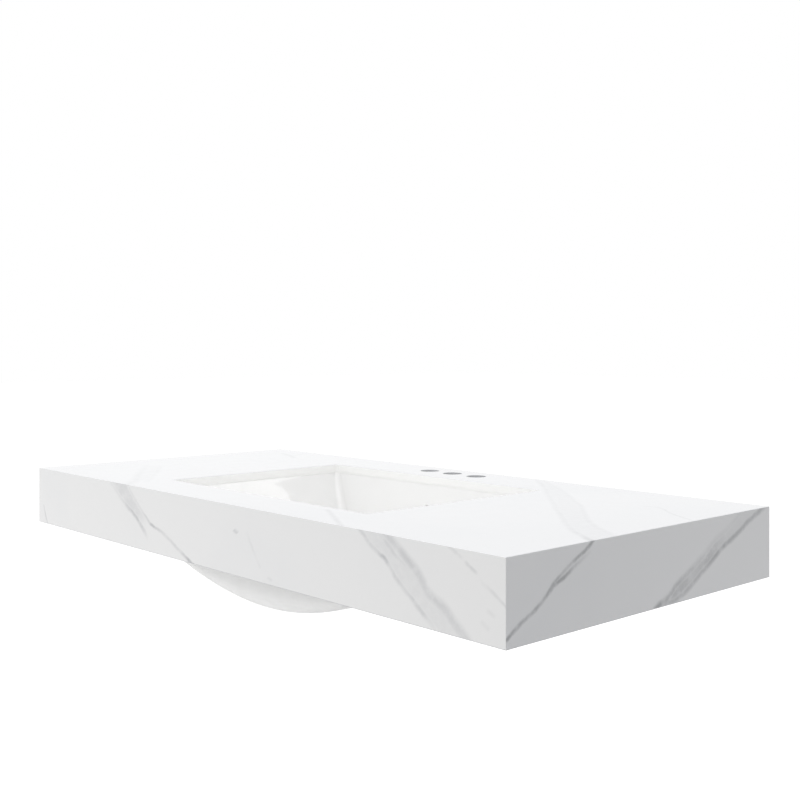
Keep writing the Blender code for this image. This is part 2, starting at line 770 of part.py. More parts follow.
def bracket_mesh(steel):
    """A bent steel angle with a gusset, +X away from the wall and Z = 0 at the slab."""
    path = [(GAP, -BRACKET_LEG), (GAP, -GAP), (BRACKET_ARM, -GAP)]
    bracket = bent_strip("wall_bracket", path, BRACKET_WIDTH, BRACKET_STEEL, BRACKET_BEND)
    inside = GAP + BRACKET_STEEL / 2
    outline = [(inside, -inside), (inside, -GUSSET), (GUSSET, -inside)]
    gusset = plate("gusset", [outline], BRACKET_STEEL, CUTTERS)
    gusset.rotation_euler.x = math.pi / 2
    boolean(bracket, gusset, "UNION")
    for across in (-1, 1):
        through = BRACKET_STEEL + OVERRUN
        hole = rod("leg_hole", WALL_HOLE_RADIUS, through, -OVERRUN, SMALL_STEPS, CUTTERS)
        hole.rotation_euler.y = math.pi / 2
        hole.location = (0, across * WALL_HOLE_SPREAD / 2, -WALL_HOLE_DROP)
        boolean(bracket, hole)
    for along in BOLTS_ALONG:
        through = BRACKET_STEEL + OVERRUN
        hole = rod("arm_hole", BOLT_RADIUS + HOLE_PLAY, OVERRUN, -through, SMALL_STEPS, CUTTERS)
        hole.location.x = along
        boolean(bracket, hole)
    return take_mesh(bracket, steel)


def bolt_mesh(steel):
    """A pan-head bolt, Z = 0 at the slab's underside."""
    seat = -(GAP + BRACKET_STEEL + GAP)
    foot = seat - BOLT_HEAD_HEIGHT
    profile = [
        (0, BOLT_REACH), (BOLT_RADIUS, BOLT_REACH), (BOLT_RADIUS, seat), (BOLT_HEAD_RADIUS, seat),
        (BOLT_HEAD_RADIUS, foot + BOLT_HEAD_ROUND), (BOLT_HEAD_RADIUS - BOLT_HEAD_ROUND, foot), (0, foot),
    ]
    return take_mesh(turned("bracket_bolt", profile, SMALL_STEPS), steel)


def make_brackets(steel, brass):
    bracket = bracket_mesh(steel)
    bolt = bolt_mesh(steel)
    insert = take_mesh(
        tube("insert", INSERT_RADIUS, BOLT_RADIUS + GAP, INSERT_DEPTH, 0, SMALL_STEPS), brass
    )
    away = -math.pi / 2
    for side, name in ((-1, "left"), (1, "right")):
        place = (side * BRACKET_X, RAIL_FACE_Y)
        place_copy(f"wall_bracket_{name}", bracket, place, away, 0, UNDER_Z)
    for number, (side, along) in enumerate(bolt_places(), 1):
        place = (side * BRACKET_X, RAIL_FACE_Y)
        place_copy(f"bracket_bolt_{number}", bolt, place, away, along, UNDER_Z)
        place_copy(f"bracket_insert_{number}", insert, place, away, along, UNDER_Z)


def main():
    stone = new_material("marble_stone", (0.86, 0.87, 0.88), 0.18)
    china = new_material("glazed_china", (0.88, 0.88, 0.87), 0.06)
    silicone = new_material("white_silicone", (0.82, 0.82, 0.80), 0.5)
    steel = new_material("zinc_plated_steel", (0.62, 0.63, 0.65), 0.35, 1.0)
    brass = new_material("brass", (0.72, 0.52, 0.22), 0.35, 1.0)
    block = eased_block()
    make_top_slab(block, stone)
    make_aprons(block, stone)
    make_back_rail(block, stone)
    make_battens(stone)
    make_basin(china)
    make_seal(silicone)
    make_clips(steel, brass)
    make_brackets(steel, brass)


main()
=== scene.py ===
import math

import bmesh
import bpy
from mathutils import Matrix, Vector


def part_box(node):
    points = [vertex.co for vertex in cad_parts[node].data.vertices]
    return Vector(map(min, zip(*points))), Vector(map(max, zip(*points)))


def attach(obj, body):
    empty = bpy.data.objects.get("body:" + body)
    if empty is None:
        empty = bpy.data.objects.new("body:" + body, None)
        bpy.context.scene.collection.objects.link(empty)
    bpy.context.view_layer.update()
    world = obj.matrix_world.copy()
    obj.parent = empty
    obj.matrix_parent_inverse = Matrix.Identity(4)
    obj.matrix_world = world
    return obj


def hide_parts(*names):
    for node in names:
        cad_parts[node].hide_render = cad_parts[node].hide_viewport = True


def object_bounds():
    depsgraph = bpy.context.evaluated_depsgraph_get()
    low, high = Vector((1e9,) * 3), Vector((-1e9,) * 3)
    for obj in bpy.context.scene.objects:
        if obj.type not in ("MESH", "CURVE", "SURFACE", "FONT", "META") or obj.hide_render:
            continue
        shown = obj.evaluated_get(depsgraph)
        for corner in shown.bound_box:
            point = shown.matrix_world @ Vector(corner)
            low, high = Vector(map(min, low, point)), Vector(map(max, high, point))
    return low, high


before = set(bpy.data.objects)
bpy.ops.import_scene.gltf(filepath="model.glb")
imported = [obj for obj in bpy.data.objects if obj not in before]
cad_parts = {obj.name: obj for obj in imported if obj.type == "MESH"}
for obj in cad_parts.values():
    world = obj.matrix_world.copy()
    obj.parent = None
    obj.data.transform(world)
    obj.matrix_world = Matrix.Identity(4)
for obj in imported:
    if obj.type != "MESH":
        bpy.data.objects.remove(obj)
cad_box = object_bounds()

# Camera: a little above the top and off its right front corner, level, with the picture
# shifted down so that the upright edges stay upright. Its lens and shift are for a picture of
# 800 by 800.
bpy.ops.object.camera_add(
    location=(1.3887, -1.4427, 0.2798), rotation=(math.pi / 2, 0, math.radians(47.665)))
camera = bpy.context.object
camera.name = "camera"
camera.data.sensor_width = 36
camera.data.lens = 48.9
camera.data.shift_y = -0.0666
bpy.context.scene.camera = camera
bpy.context.scene.view_settings.view_transform = "Standard"


# Surroundings: an even white room. Lit surfaces get its light at a plain level, and what looks
# straight at it, or mirrors it, sees white.
ROOM_LIGHT = 0.92


def node(tree, kind, **settings):
    """Adds a node with its settings."""
    made = tree.nodes.new("ShaderNode" + kind)
    for setting, value in settings.items():
        setattr(made, setting, value)
    return made


def put(tree, socket, term):
    """Links a socket, or sets a number or colour, on an input."""
    if isinstance(term, bpy.types.NodeSocket):
        tree.links.new(term, socket)
    else:
        socket.default_value = term


def reckon(tree, operation, *terms):
    """The result of a Math node."""
    made = node(tree, "Math", operation=operation)
    for socket, term in zip(made.inputs, terms):
        put(tree, socket, term)
    return made.outputs[0]


def ramp(tree, value, start, end, low, high, smooth=True):
    """A value carried from one range to another, and held at its ends."""
    made = node(tree, "MapRange", interpolation_type="SMOOTHSTEP" if smooth else "LINEAR")
    for socket, term in zip(made.inputs, (value, start, end, low, high)):
        put(tree, socket, term)
    return made.outputs["Result"]


room = bpy.data.worlds.new("white_room")
bpy.context.scene.world = room
room.use_nodes = True
tree = room.node_tree
path = node(tree, "LightPath").outputs
seen = reckon(tree, "ADD", path["Is Camera Ray"], path["Is Glossy Ray"])
seen = reckon(tree, "ADD", seen, path["Is Transmission Ray"])
light = tree.nodes["Background"].inputs
light["Color"].default_value = (1, 1, 1, 1)
put(tree, light["Strength"], ramp(tree, seen, 0, 1, ROOM_LIGHT, 1, smooth=False))


# Lamps: a wide soft lamp overhead and a weaker one in front, which leave the right end in shade.
def soft_lamp(name, place, aim, size, watts):
    """A square lamp that faces a point."""
    bpy.ops.object.light_add(type="AREA", location=place)
    lamp = bpy.context.object
    lamp.name = name
    lamp.data.shape = "SQUARE"
    lamp.data.size = size
    lamp.data.energy = watts
    lamp.rotation_euler = (Vector(aim) - Vector(place)).to_track_quat("-Z", "Y").to_euler()
    return lamp


soft_lamp("overhead_lamp", place=(-1.3, -0.4, 2.6), aim=(-0.2, -0.3, 0), size=2.4, watts=15)
soft_lamp("front_lamp", place=(1.0, -3.6, 1.0), aim=(0.2, -0.28, 0), size=2.0, watts=11)


# Floor: pale and plain, as far below the top as it hangs on a wall. It keeps the soft shadow, and
# throws light up from below, but little on the right, where the end stands in shade. Seen
# straight or in a mirror, it is as white as the room.
FLOOR_Z = -0.80
FLOOR_WIDTH = 60
LEFT_TONE, RIGHT_TONE = 0.92, 0.08
TONE_FROM, TONE_TO = 0.5, 1.3
SEEN_TONE, SEEN_GLOW = (0.34, 0.34, 0.34, 1), 0.84


def new_finish(name):
    """A new material, with its node tree and the inputs of its shader."""
    made = bpy.data.materials.new(name)
    made.use_nodes = True
    return made, made.node_tree, made.node_tree.nodes["Principled BSDF"].inputs


def mix_tones(tree, mask, first, second, **settings):
    """The first colour where the mask is 0, and the second where it is 1."""
    made = node(tree, "Mix", data_type="RGBA", **settings)
    for socket, term in zip((made.inputs["Factor"], *made.inputs[6:8]), (mask, first, second)):
        put(tree, socket, term)
    return made.outputs[2]


bpy.ops.object.select_all(action="DESELECT")
bpy.ops.mesh.primitive_plane_add(size=FLOOR_WIDTH, location=(0, 0, FLOOR_Z))
floor = bpy.context.object
floor.name = "floor"
floor_paint, tree, shader = new_finish("pale_floor")
shader["Roughness"].default_value = 0.9
shader["Specular IOR Level"].default_value = 0.0
shader["Emission Color"].default_value = (1, 1, 1, 1)
path = node(tree, "LightPath").outputs
seen = reckon(tree, "MAXIMUM", path["Is Camera Ray"], path["Is Glossy Ray"])
side = node(tree, "SeparateXYZ")
put(tree, side.inputs[0], node(tree, "TexCoord").outputs["Object"])
tone = ramp(tree, side.outputs["X"], TONE_FROM, TONE_TO, LEFT_TONE, RIGHT_TONE, smooth=False)
put(tree, shader["Base Color"], mix_tones(tree, seen, tone, SEEN_TONE))
put(tree, shader["Emission Strength"], reckon(tree, "MULTIPLY", seen, SEEN_GLOW))
floor.data.materials.append(floor_paint)


# Top slab: a 12 mm board of polished engineered marble. It is sawn to size, mitred along its
# front and ends, and cut out for the basin and the taps. It is drawn from the glued block, which
# has its arrises rubbed round, and the mitres are planes through the block's upper edges.
STONE = 0.012
ARRIS = 0.0008
CUT_CORNER = 0.006
CUT_ARRIS = 0.0015
TAP_RADIUS = 0.0175
TAP_SPACING = 0.059
TAP_FROM_WALL = 0.049
CUT_LOW = (-0.258, -0.473)
CUT_HIGH = (0.258, -0.106)
HOLE_SIDES = 96

left_x, front_y, _ = cad_box[0]
right_x, wall_y, top_z = cad_box[1]
foot_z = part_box("front_apron")[0][2]
under_z = top_z - STONE


def open_up(piece):
    """Edit mode on one piece, with nothing selected."""
    bpy.ops.object.select_all(action="DESELECT")
    piece.select_set(True)
    bpy.context.view_layer.objects.active = piece
    bpy.ops.object.mode_set(mode="EDIT")
    bpy.ops.mesh.select_mode(type="FACE")
    bpy.ops.mesh.select_all(action="DESELECT")


def pick_edges(piece, wanted):
    """In edit mode, selects the edges that pass a test, and any others between the same ends."""
    bpy.ops.mesh.select_mode(type="EDGE")
    bpy.ops.mesh.select_all(action="DESELECT")
    work = bmesh.from_edit_mesh(piece.data)
    for edge in work.edges:
        edge.select = wanted(edge.verts[0].co, edge.verts[1].co)
    work.select_flush(True)
    bmesh.update_edit_mesh(piece.data)


def pick_faces(piece, wanted):
    """In edit mode, selects the faces whose middle and normal pass a test."""
    bpy.ops.mesh.select_mode(type="FACE")
    bpy.ops.mesh.select_all(action="DESELECT")
    work = bmesh.from_edit_mesh(piece.data)
    for face in work.faces:
        face.select = wanted(face.calc_center_median(), face.normal)
    work.select_flush(True)
    bmesh.update_edit_mesh(piece.data)


def start_cube(name, low, high):
    """A cube primitive stretched between two corners, as a start."""
    bpy.ops.object.select_all(action="DESELECT")
    bpy.ops.mesh.primitive_cube_add(size=1, location=[(a + b) / 2 for a, b in zip(low, high)])
    piece = bpy.context.object
    piece.name = piece.data.name = name
    piece.scale = [b - a for a, b in zip(low, high)]
    bpy.ops.object.transform_apply(location=True, rotation=True, scale=True)
    return piece


def start_cylinder(sides, radius, height, place):
    """An upright cylinder primitive about its middle, as a start."""
    bpy.ops.object.select_all(action="DESELECT")
    bpy.ops.mesh.primitive_cylinder_add(vertices=sides, radius=radius, depth=height, location=place)
    bpy.ops.object.transform_apply(location=True, rotation=True, scale=True)
    return bpy.context.object


def apply_all(piece):
    """Applies the piece's modifiers."""
    bpy.ops.object.select_all(action="DESELECT")
    piece.select_set(True)
    bpy.context.view_layer.objects.active = piece
    for modifier in list(piece.modifiers):
        bpy.ops.object.modifier_apply(modifier=modifier.name)


def cut_with(piece, cutter, operation="DIFFERENCE"):
    """Cuts the piece with another, or joins them, and takes the other away."""
    modifier = piece.modifiers.new("cut", "BOOLEAN")
    modifier.operation = operation
    modifier.solver = "EXACT"
    modifier.object = cutter
    apply_all(piece)
    bpy.data.objects.remove(cutter)


def shade(piece, angle):
    """Smooth shading but for sharp edges, with large faces kept flat."""
    bpy.ops.object.select_all(action="DESELECT")
    piece.select_set(True)
    bpy.context.view_layer.objects.active = piece
    bpy.ops.object.shade_smooth_by_angle(angle=math.radians(angle))
    flat = piece.modifiers.new("flat_faces", "WEIGHTED_NORMAL")
    flat.keep_sharp = True
    apply_all(piece)


def glued_block(name):
    """The outside of the whole top, with round arrises, from which each board is cut."""
    piece = start_cube(name, (left_x, front_y, foot_z), (right_x, wall_y, top_z))
    open_up(piece)
    bpy.ops.mesh.select_all(action="SELECT")
    bpy.ops.mesh.bevel(offset=ARRIS, segments=4, profile=0.5, affect="EDGES")
    return piece


def cut_away(place, outwards):
    """In edit mode, saws off what lies beyond a plane and closes the cut."""
    bpy.ops.mesh.select_all(action="SELECT")
    bpy.ops.mesh.bisect(plane_co=place, plane_no=outwards, use_fill=True, clear_outer=True)


slab = glued_block("slab")
cut_away((0, 0, under_z), (0, 0, -1))
cut_away((0, front_y, top_z), (0, -1, -1))
cut_away((left_x, 0, top_z), (-1, 0, -1))
cut_away((right_x, 0, top_z), (1, 0, -1))
bpy.ops.object.mode_set(mode="OBJECT")


def flare(cutter, width, steps=4):
    """Widens a cutter's upper end by a quarter round, so that it leaves a round arris in the top.

    The cutter ends this width below the top. The last step carries it on, clear of the stone.
    """
    spread = [[vertex.co[axis] for vertex in cutter.data.vertices] for axis in (0, 1)]
    centre = [(min(each) + max(each)) / 2 for each in spread] + [top_z]
    halves = [(max(each) - min(each)) / 2 for each in spread]
    open_up(cutter)
    pick_faces(cutter, lambda place, facing: facing.z > 0.9)
    reach, rise = 0, 0
    for step in range(1, steps + 2):
        turn = min(step / steps, 1) * math.pi / 2
        wider, higher = width * (1 - math.cos(turn)), width * math.sin(turn)
        if step > steps:
            higher += STONE
        bpy.ops.mesh.extrude_region_move(TRANSFORM_OT_translate={"value": (0, 0, higher - rise)})
        growth = [(half + wider) / (half + reach) for half in halves] + [1]
        bpy.ops.transform.resize(value=growth, center_override=centre)
        reach, rise = wider, higher
    bpy.ops.object.mode_set(mode="OBJECT")


opening = start_cube("opening", (*CUT_LOW, under_z - STONE), (*CUT_HIGH, top_z + STONE))
open_up(opening)
pick_edges(opening, lambda a, b: abs(a.z - b.z) > STONE)
bpy.ops.mesh.bevel(offset=CUT_CORNER, segments=10, profile=0.5, affect="EDGES")
cut_away((0, 0, top_z - CUT_ARRIS), (0, 0, 1))
bpy.ops.object.mode_set(mode="OBJECT")
flare(opening, CUT_ARRIS)
cut_with(slab, opening)
for place_x in (-TAP_SPACING, 0, TAP_SPACING):
    drill = start_cylinder(
        HOLE_SIDES, TAP_RADIUS, 2 * STONE, (place_x, wall_y - TAP_FROM_WALL, top_z - ARRIS - STONE))
    flare(drill, ARRIS)
    cut_with(slab, drill)

# Blind holes in its underside take the brass anchors of the basin's clips and the brass inserts of
# the brackets, with a little room for the glue.
GLUE = 0.0003
CLIPS, BOLTS = range(1, 7), range(1, 5)
anchors = [f"clip_anchor_{number}" for number in CLIPS]
inserts = [f"bracket_insert_{number}" for number in BOLTS]
for name in anchors + inserts:
    low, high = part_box(name)
    hole = start_cylinder(
        HOLE_SIDES // 2, (high[0] - low[0]) / 2 + GLUE, high[2] - low[2] + GLUE + STONE,
        ((low[0] + high[0]) / 2, (low[1] + high[1]) / 2, (low[2] + high[2] + GLUE - STONE) / 2))
    cut_with(slab, hole)

shade(slab, 40)


# The stone's pattern runs over the folded edges as over one flat sheet, so a place on a board is
# first laid out flat: X and Y of the top, with the aprons turned up beside it. Veins are drawn on
# that sheet in millimetres, each as one or two dark lines with a smoky fill between them.
LINE_REACH = 0.080
SHEET_MARGIN, LINE_END, SMOKE_END = 12, 4, 8
SMOKE_EDGE = (-0.001, 0.006)


def noise(tree, place, scale, detail=2.0, roughness=0.5):
    """A Noise Texture node at a place."""
    made = node(tree, "TexNoise")
    put(tree, made.inputs["Vector"], place)
    made.inputs["Scale"].default_value = scale
    made.inputs["Detail"].default_value = detail
    made.inputs["Roughness"].default_value = roughness
    return made


def new_group(name, given, gives):
    """An empty node group with its named sockets, and what it is given and gives inside."""
    group = bpy.data.node_groups.new(name, "ShaderNodeTree")
    for label, kind in given:
        group.interface.new_socket(label, in_out="INPUT", socket_type="NodeSocket" + kind)
    for label, kind in gives:
        group.interface.new_socket(label, in_out="OUTPUT", socket_type="NodeSocket" + kind)
    entry, leaving = group.nodes.new("NodeGroupInput"), group.nodes.new("NodeGroupOutput")
    return group, entry.outputs, leaving.inputs


def drawn(tree, along, points):
    """The height of a drawn curve at a place along it, both from 0 to 1."""
    made = node(tree, "FloatCurve")
    curve = made.mapping.curves[0]
    points = sorted(points)
    curve.points[0].location = points[0]
    curve.points[-1].location = points[-1]
    for point in points[1:-1]:
        curve.points.new(*point)
    for point in curve.points:
        point.handle_type = "AUTO_CLAMPED"
    made.mapping.update()
    tree.links.new(along, made.inputs["Value"])
    return made.outputs["Value"]


def vein(name, lines, fill=()):
    """A group that says how dark one vein is at a place on the flat sheet.

    Each line is its half width and its points (x, y, darkness), all in millimetres. The fill,
    between the first two lines, is points of the same kind.
    """
    first, last = Vector(lines[0][1][0][:2]), Vector(lines[0][1][-1][:2])
    run = (last - first).normalized()
    across = Vector((-run.y, run.x))
    shown = [point for _, points in lines for point in points] + list(fill)
    shown = [(Vector(point[:2]) - first).dot(run) for point in shown]
    low = min(shown) - SHEET_MARGIN
    length = max(shown) + SHEET_MARGIN - low
    start = first + run * low

    def spot(x, y, value):
        place = Vector((x, y)) - start
        return place.dot(run) / length, place.dot(across) / 1000, value

    def darkness(spots, fading):
        ends = [(spots[0][0] - fading / length, 0.0), (spots[-1][0] + fading / length, 0.0)]
        return drawn(group, along, [(t, value) for t, _, value in spots] + ends)

    group, given, gives = new_group(name, [("Vector", "Vector")], [("Vein", "Float")])
    turned = node(group, "Mapping", vector_type="TEXTURE")
    turned.inputs["Location"].default_value = (start.x / 1000, start.y / 1000, 0)
    turned.inputs["Rotation"].default_value = (0, 0, math.atan2(run.y, run.x))
    turned.inputs["Scale"].default_value = (length / 1000, 1, 1)
    group.links.new(given["Vector"], turned.inputs["Vector"])
    parts = node(group, "SeparateXYZ")
    group.links.new(turned.outputs[0], parts.inputs[0])
    along, aside = parts.outputs["X"], parts.outputs["Y"]
    masks, offsets = [], []
    for half_width, points in lines:
        spots = [spot(*point) for point in points]
        track = drawn(group, along, [(t, 0.5 + s / (2 * LINE_REACH)) for t, s, _ in spots])
        track = reckon(group, "MULTIPLY_ADD", track, 2 * LINE_REACH, -LINE_REACH)
        offsets.append(reckon(group, "SUBTRACT", aside, track))
        away = reckon(group, "ABSOLUTE", offsets[-1])
        masks.append(ramp(group, away, 0, half_width / 1000, darkness(spots, LINE_END), 0))
    if fill:
        smoke = darkness([spot(*point) for point in fill], SMOKE_END)
        first_side = -1 if spot(*lines[0][1][0])[1] > spot(*lines[1][1][0])[1] else 1
        for offset, sign in zip(offsets, (first_side, -first_side)):
            inside = reckon(group, "MULTIPLY", offset, sign)
            smoke = ramp(group, inside, *SMOKE_EDGE, 0, smoke)
        masks.append(smoke)
    total = masks[0]
    for mask in masks[1:]:
        total = reckon(group, "MAXIMUM", total, mask)
    group.links.new(total, gives["Vein"])
    return group


# Where the pattern is read, it wanders a little, so that no line is drawn too straight.
stone_wander, given, gives = new_group(
    "stone_wander", [("Vector", "Vector")], [("Vector", "Vector")])
slow = noise(stone_wander, given["Vector"], 16, detail=1.0)
quick = noise(stone_wander, given["Vector"], 110, detail=3.0, roughness=0.6)
place = given["Vector"]
for waver, amount in ((slow, 0.006), (quick, 0.0028)):
    centred = node(stone_wander, "VectorMath", operation="SUBTRACT")
    moved = node(stone_wander, "VectorMath", operation="MULTIPLY_ADD")
    put(stone_wander, centred.inputs[0], waver.outputs["Color"])
    put(stone_wander, centred.inputs[1], (0.5, 0.5, 0.5))
    put(stone_wander, moved.inputs[0], centred.outputs[0])
    put(stone_wander, moved.inputs[1], (amount, amount, amount))
    put(stone_wander, moved.inputs[2], place)
    place = moved.outputs[0]
put(stone_wander, gives["Vector"], place)

# The ground is a cool white with a faint cloudiness, and the veins break up along their length.
STONE_WHITE = (0.798, 0.805, 0.821, 1)
# The front apron's white is a lighter, neutral copy of the same stone's white: painted light on the
# front.
APRON_LIT_WHITE = (0.820, 0.820, 0.820, 1)
CLOUD_SHADE = (0.978, 0.981, 0.987, 1)
VEIN_GREY = (0.415, 0.422, 0.440, 1)
POLISH = (0.145, 0.160)
stone_colour, given, gives = new_group(
    "stone_colour", [("Vector", "Vector"), ("Vein", "Float"), ("Ground", "Color")],
    [("Color", "Color"), ("Roughness", "Float")],
)
cloud = noise(stone_colour, given["Vector"], 5)
cloudy = ramp(stone_colour, cloud.outputs[0], 0.45, 0.80, 0, 1)
broken = noise(stone_colour, given["Vector"], 75, detail=4.0, roughness=0.65)
breaks = ramp(stone_colour, broken.outputs[0], 0.30, 0.62, 0.62, 1.1)
vein_mask = reckon(stone_colour, "MULTIPLY", given["Vein"], breaks)
ground = mix_tones(stone_colour, cloudy, given["Ground"], CLOUD_SHADE, blend_type="MULTIPLY")
veined = mix_tones(stone_colour, vein_mask, ground, VEIN_GREY, clamp_factor=True)
put(stone_colour, gives["Color"], veined)
polish = noise(stone_colour, given["Vector"], 40)
polish = ramp(stone_colour, polish.outputs[0], 0.3, 0.7, *POLISH, smooth=False)
put(stone_colour, gives["Roughness"], polish)


def place_group(tree, group, **inputs):
    """A copy of a node group in a material, with its inputs."""
    made = node(tree, "Group", node_tree=group)
    for label, term in inputs.items():
        put(tree, made.inputs[label], term)
    return made.outputs


def polished_stone(name, turn, shift, veins, ground=STONE_WHITE):
    """Polished stone for one board: how it is laid out flat, and the veins that cross it."""
    made, tree, shader = new_finish(name)
    flat = node(tree, "Mapping")
    flat.inputs["Rotation"].default_value = turn
    flat.inputs["Location"].default_value = shift
    tree.links.new(node(tree, "TexCoord").outputs["Object"], flat.inputs["Vector"])
    spot = place_group(tree, stone_wander, Vector=flat.outputs[0])["Vector"]
    total = None
    for each in veins:
        mask = place_group(tree, each, Vector=spot)["Vein"]
        total = mask if total is None else reckon(tree, "MAXIMUM", total, mask)
    look = place_group(tree, stone_colour, Vector=flat.outputs[0], Vein=total, Ground=ground)
    put(tree, shader["Base Color"], look["Color"])
    put(tree, shader["Roughness"], look["Roughness"])
    return made


def relief(tree, height, strength, depth):
    """Raises and lowers a material's surface by up to this depth in metres."""
    bump = node(tree, "Bump")
    bump.inputs["Strength"].default_value = strength
    bump.inputs["Distance"].default_value = depth
    tree.links.new(height, bump.inputs["Height"])
    tree.links.new(bump.outputs[0], tree.nodes["Principled BSDF"].inputs["Normal"])


# The sawn faces that no one sees from above are matt and show the saw's fine lines.
SAW_STROKES = (14, 420, 90)
SAWN_DEEP = (0.74, 0.745, 0.755, 1)
SAWN_PALE = (0.83, 0.835, 0.84, 1)
sawn_stone, tree, shader = new_finish("sawn_stone")
spot = node(tree, "TexCoord").outputs["Object"]
saw = node(tree, "Mapping")
saw.inputs["Scale"].default_value = SAW_STROKES
tree.links.new(spot, saw.inputs["Vector"])
saw_lines = noise(tree, saw.outputs[0], 1.0, detail=3.0, roughness=0.6).outputs[0]
patches = noise(tree, spot, 9, detail=5.0, roughness=0.6).outputs[0]
tone = ramp(tree, reckon(tree, "MULTIPLY", saw_lines, patches), 0.12, 0.40, 0, 1)
put(tree, shader["Base Color"], mix_tones(tree, tone, SAWN_DEEP, SAWN_PALE))
put(tree, shader["Roughness"], ramp(tree, patches, 0.3, 0.7, 0.55, 0.75))
relief(tree, saw_lines, 0.25, 0.0004)


# Plain finishes are never quite even: two close tones and two roughnesses, mixed by a fine noise.
mottle, given, gives = new_group(
    "mottle", [("Vector", "Vector"), ("Scale", "Float"), ("Pale", "Color"), ("Deep", "Color"),
               ("Smooth", "Float"), ("Rough", "Float")],
    [("Color", "Color"), ("Roughness", "Float"), ("Mask", "Float")],
)
speck = noise(mottle, given["Vector"], 1.0, detail=3.0, roughness=0.6)
put(mottle, speck.inputs["Scale"], given["Scale"])
mask = ramp(mottle, speck.outputs[0], 0.35, 0.65, 0, 1)
sheen = ramp(mottle, mask, 0, 1, given["Smooth"], given["Rough"], smooth=False)
put(mottle, gives["Color"], mix_tones(mottle, mask, given["Pale"], given["Deep"]))
put(mottle, gives["Roughness"], sheen)
put(mottle, gives["Mask"], mask)


def mottled(name, scale, pale, deep, smooth, rough, bump=0.0, metal=0.0):
    """A material of two close tones, with a bump of this height in metres."""
    made, tree, shader = new_finish(name)
    shader["Metallic"].default_value = metal
    look = place_group(tree, mottle, Vector=node(tree, "TexCoord").outputs["Object"], Scale=scale,
                       Pale=(*pale, 1), Deep=(*deep, 1), Smooth=smooth, Rough=rough)
    put(tree, shader["Base Color"], look["Color"])
    put(tree, shader["Roughness"], look["Roughness"])
    if bump:
        relief(tree, look["Mask"], 0.4, bump)
    return made


# Where the polished boards are cut through, the body shows plain, ground smooth by hand. Round
# the cut-out it is made paler than the boards, which is painted light. The tap holes and the
# aprons' foot arrises are painted a dark grey, which is painted shade.
cut_face_painted_light = mottled(
    "cut_face_painted_light", 260, pale=(0.925, 0.925, 0.915), deep=(0.938, 0.938, 0.928),
    smooth=0.28, rough=0.40)
painted_shade_stone = mottled(
    "painted_shade_stone", 320, pale=(0.50, 0.51, 0.53), deep=(0.58, 0.59, 0.60),
    smooth=0.45, rough=0.60)


def coat(piece, finish, wanted):
    """Gives a finish of their own to the faces of a piece that pass a test."""
    piece.data.materials.append(finish)
    open_up(piece)
    pick_faces(piece, wanted)
    piece.active_material_index = len(piece.data.materials) - 1
    bpy.ops.object.material_slot_assign()
    bpy.ops.object.mode_set(mode="OBJECT")


ROOM = 0.001


def upright_within(low, high):
    """A test for upright faces in a rectangle of the plan."""
    return lambda place, facing: (
        abs(facing.z) < 0.3 and low[0] < place.x < high[0] and low[1] < place.y < high[1])


broad_band = vein("broad_band", [
    (9, [(165, -8, .14), (176.9, -20.2, .18), (217.2, -55.6, .20), (318, -158.4, .16),
         (441.1, -283.7, .20), (523.9, -364.2, .22), (575.1, -401.5, .40), (598, -414, .70)]),
    (9, [(180, -8, .12), (193.8, -22, .15), (237.3, -52.7, .14), (394.6, -186.8, .17),
         (504.4, -303.5, .20), (579.8, -359.1, .18), (598, -372, .16)]),
], fill=[(170, -8, .10), (230, -52, .12), (355, -170, .11), (470, -290, .13), (590, -395, .13)])
thin_thread = vein("thin_thread", [
    (4, [(467.4, -133.4, .14), (494.1, -128.6, .18), (532.5, -159.7, .20), (586.4, -191.5, .26)]),
])
back_left_threads = vein("back_left_threads", [
    (9, [(-515.4, -54.9, .10), (-460, -74, .22), (-410.5, -96, .16)]),
    (8, [(-474.8, -10.3, .18), (-462, -42, .14), (-440, -84, .10)]),
])
front_thread = vein("front_thread", [
    (7, [(189.1, -488.8, .16), (240.6, -519.4, .26), (295.6, -552.9, .28), (312, -564, .26)]),
])
faint_smoke = vein("faint_smoke", [
    (16, [(-498.3, -389, .06), (-440, -424, .12), (-384.9, -462.5, .15), (-286.1, -528.4, .16),
          (-250, -563, .16)]),
    (10, [(-470, -372, .05), (-400, -420, .12), (-330, -470, .10), (-262, -520, .10)]),
], fill=[(-480, -385, .04), (-400, -440, .08), (-300, -510, .10)])
slab_stone = polished_stone(
    "slab_stone", (0, 0, 0), (0, 0, 0),
    [broad_band, thin_thread, back_left_threads, front_thread, faint_smoke],
)
slab.data.materials.append(slab_stone)
coat(slab, sawn_stone, lambda place, facing: facing.z < -0.5)
# The faces round the cut-out get the paler stone: painted light.
coat(slab, cut_face_painted_light, upright_within(
    (CUT_LOW[0] - ROOM, CUT_LOW[1] - ROOM), (CUT_HIGH[0] + ROOM, CUT_HIGH[1] + ROOM)))
# The tap holes' walls are painted dark grey: painted shade.
taps_x = TAP_SPACING + TAP_RADIUS + ROOM
coat(slab, painted_shade_stone, upright_within((-taps_x, CUT_HIGH[1] + 2 * ROOM), (taps_x, -2 * ROOM)))
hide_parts("top_slab")
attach(slab, "root")


# Front apron: a board of the same stone, sawn from beside the slab so that the veins run on, and
# glued to the slab and to the end aprons along its mitres.
front_board = glued_block("front_board")
cut_away((0, front_y + STONE, 0), (0, 1, 0))
cut_away((0, front_y, top_z), (0, 1, 1))
cut_away((left_x, front_y, 0), (-1, 1, 0))
cut_away((right_x, front_y, 0), (1, 1, 0))
bpy.ops.object.mode_set(mode="OBJECT")
shade(front_board, 40)

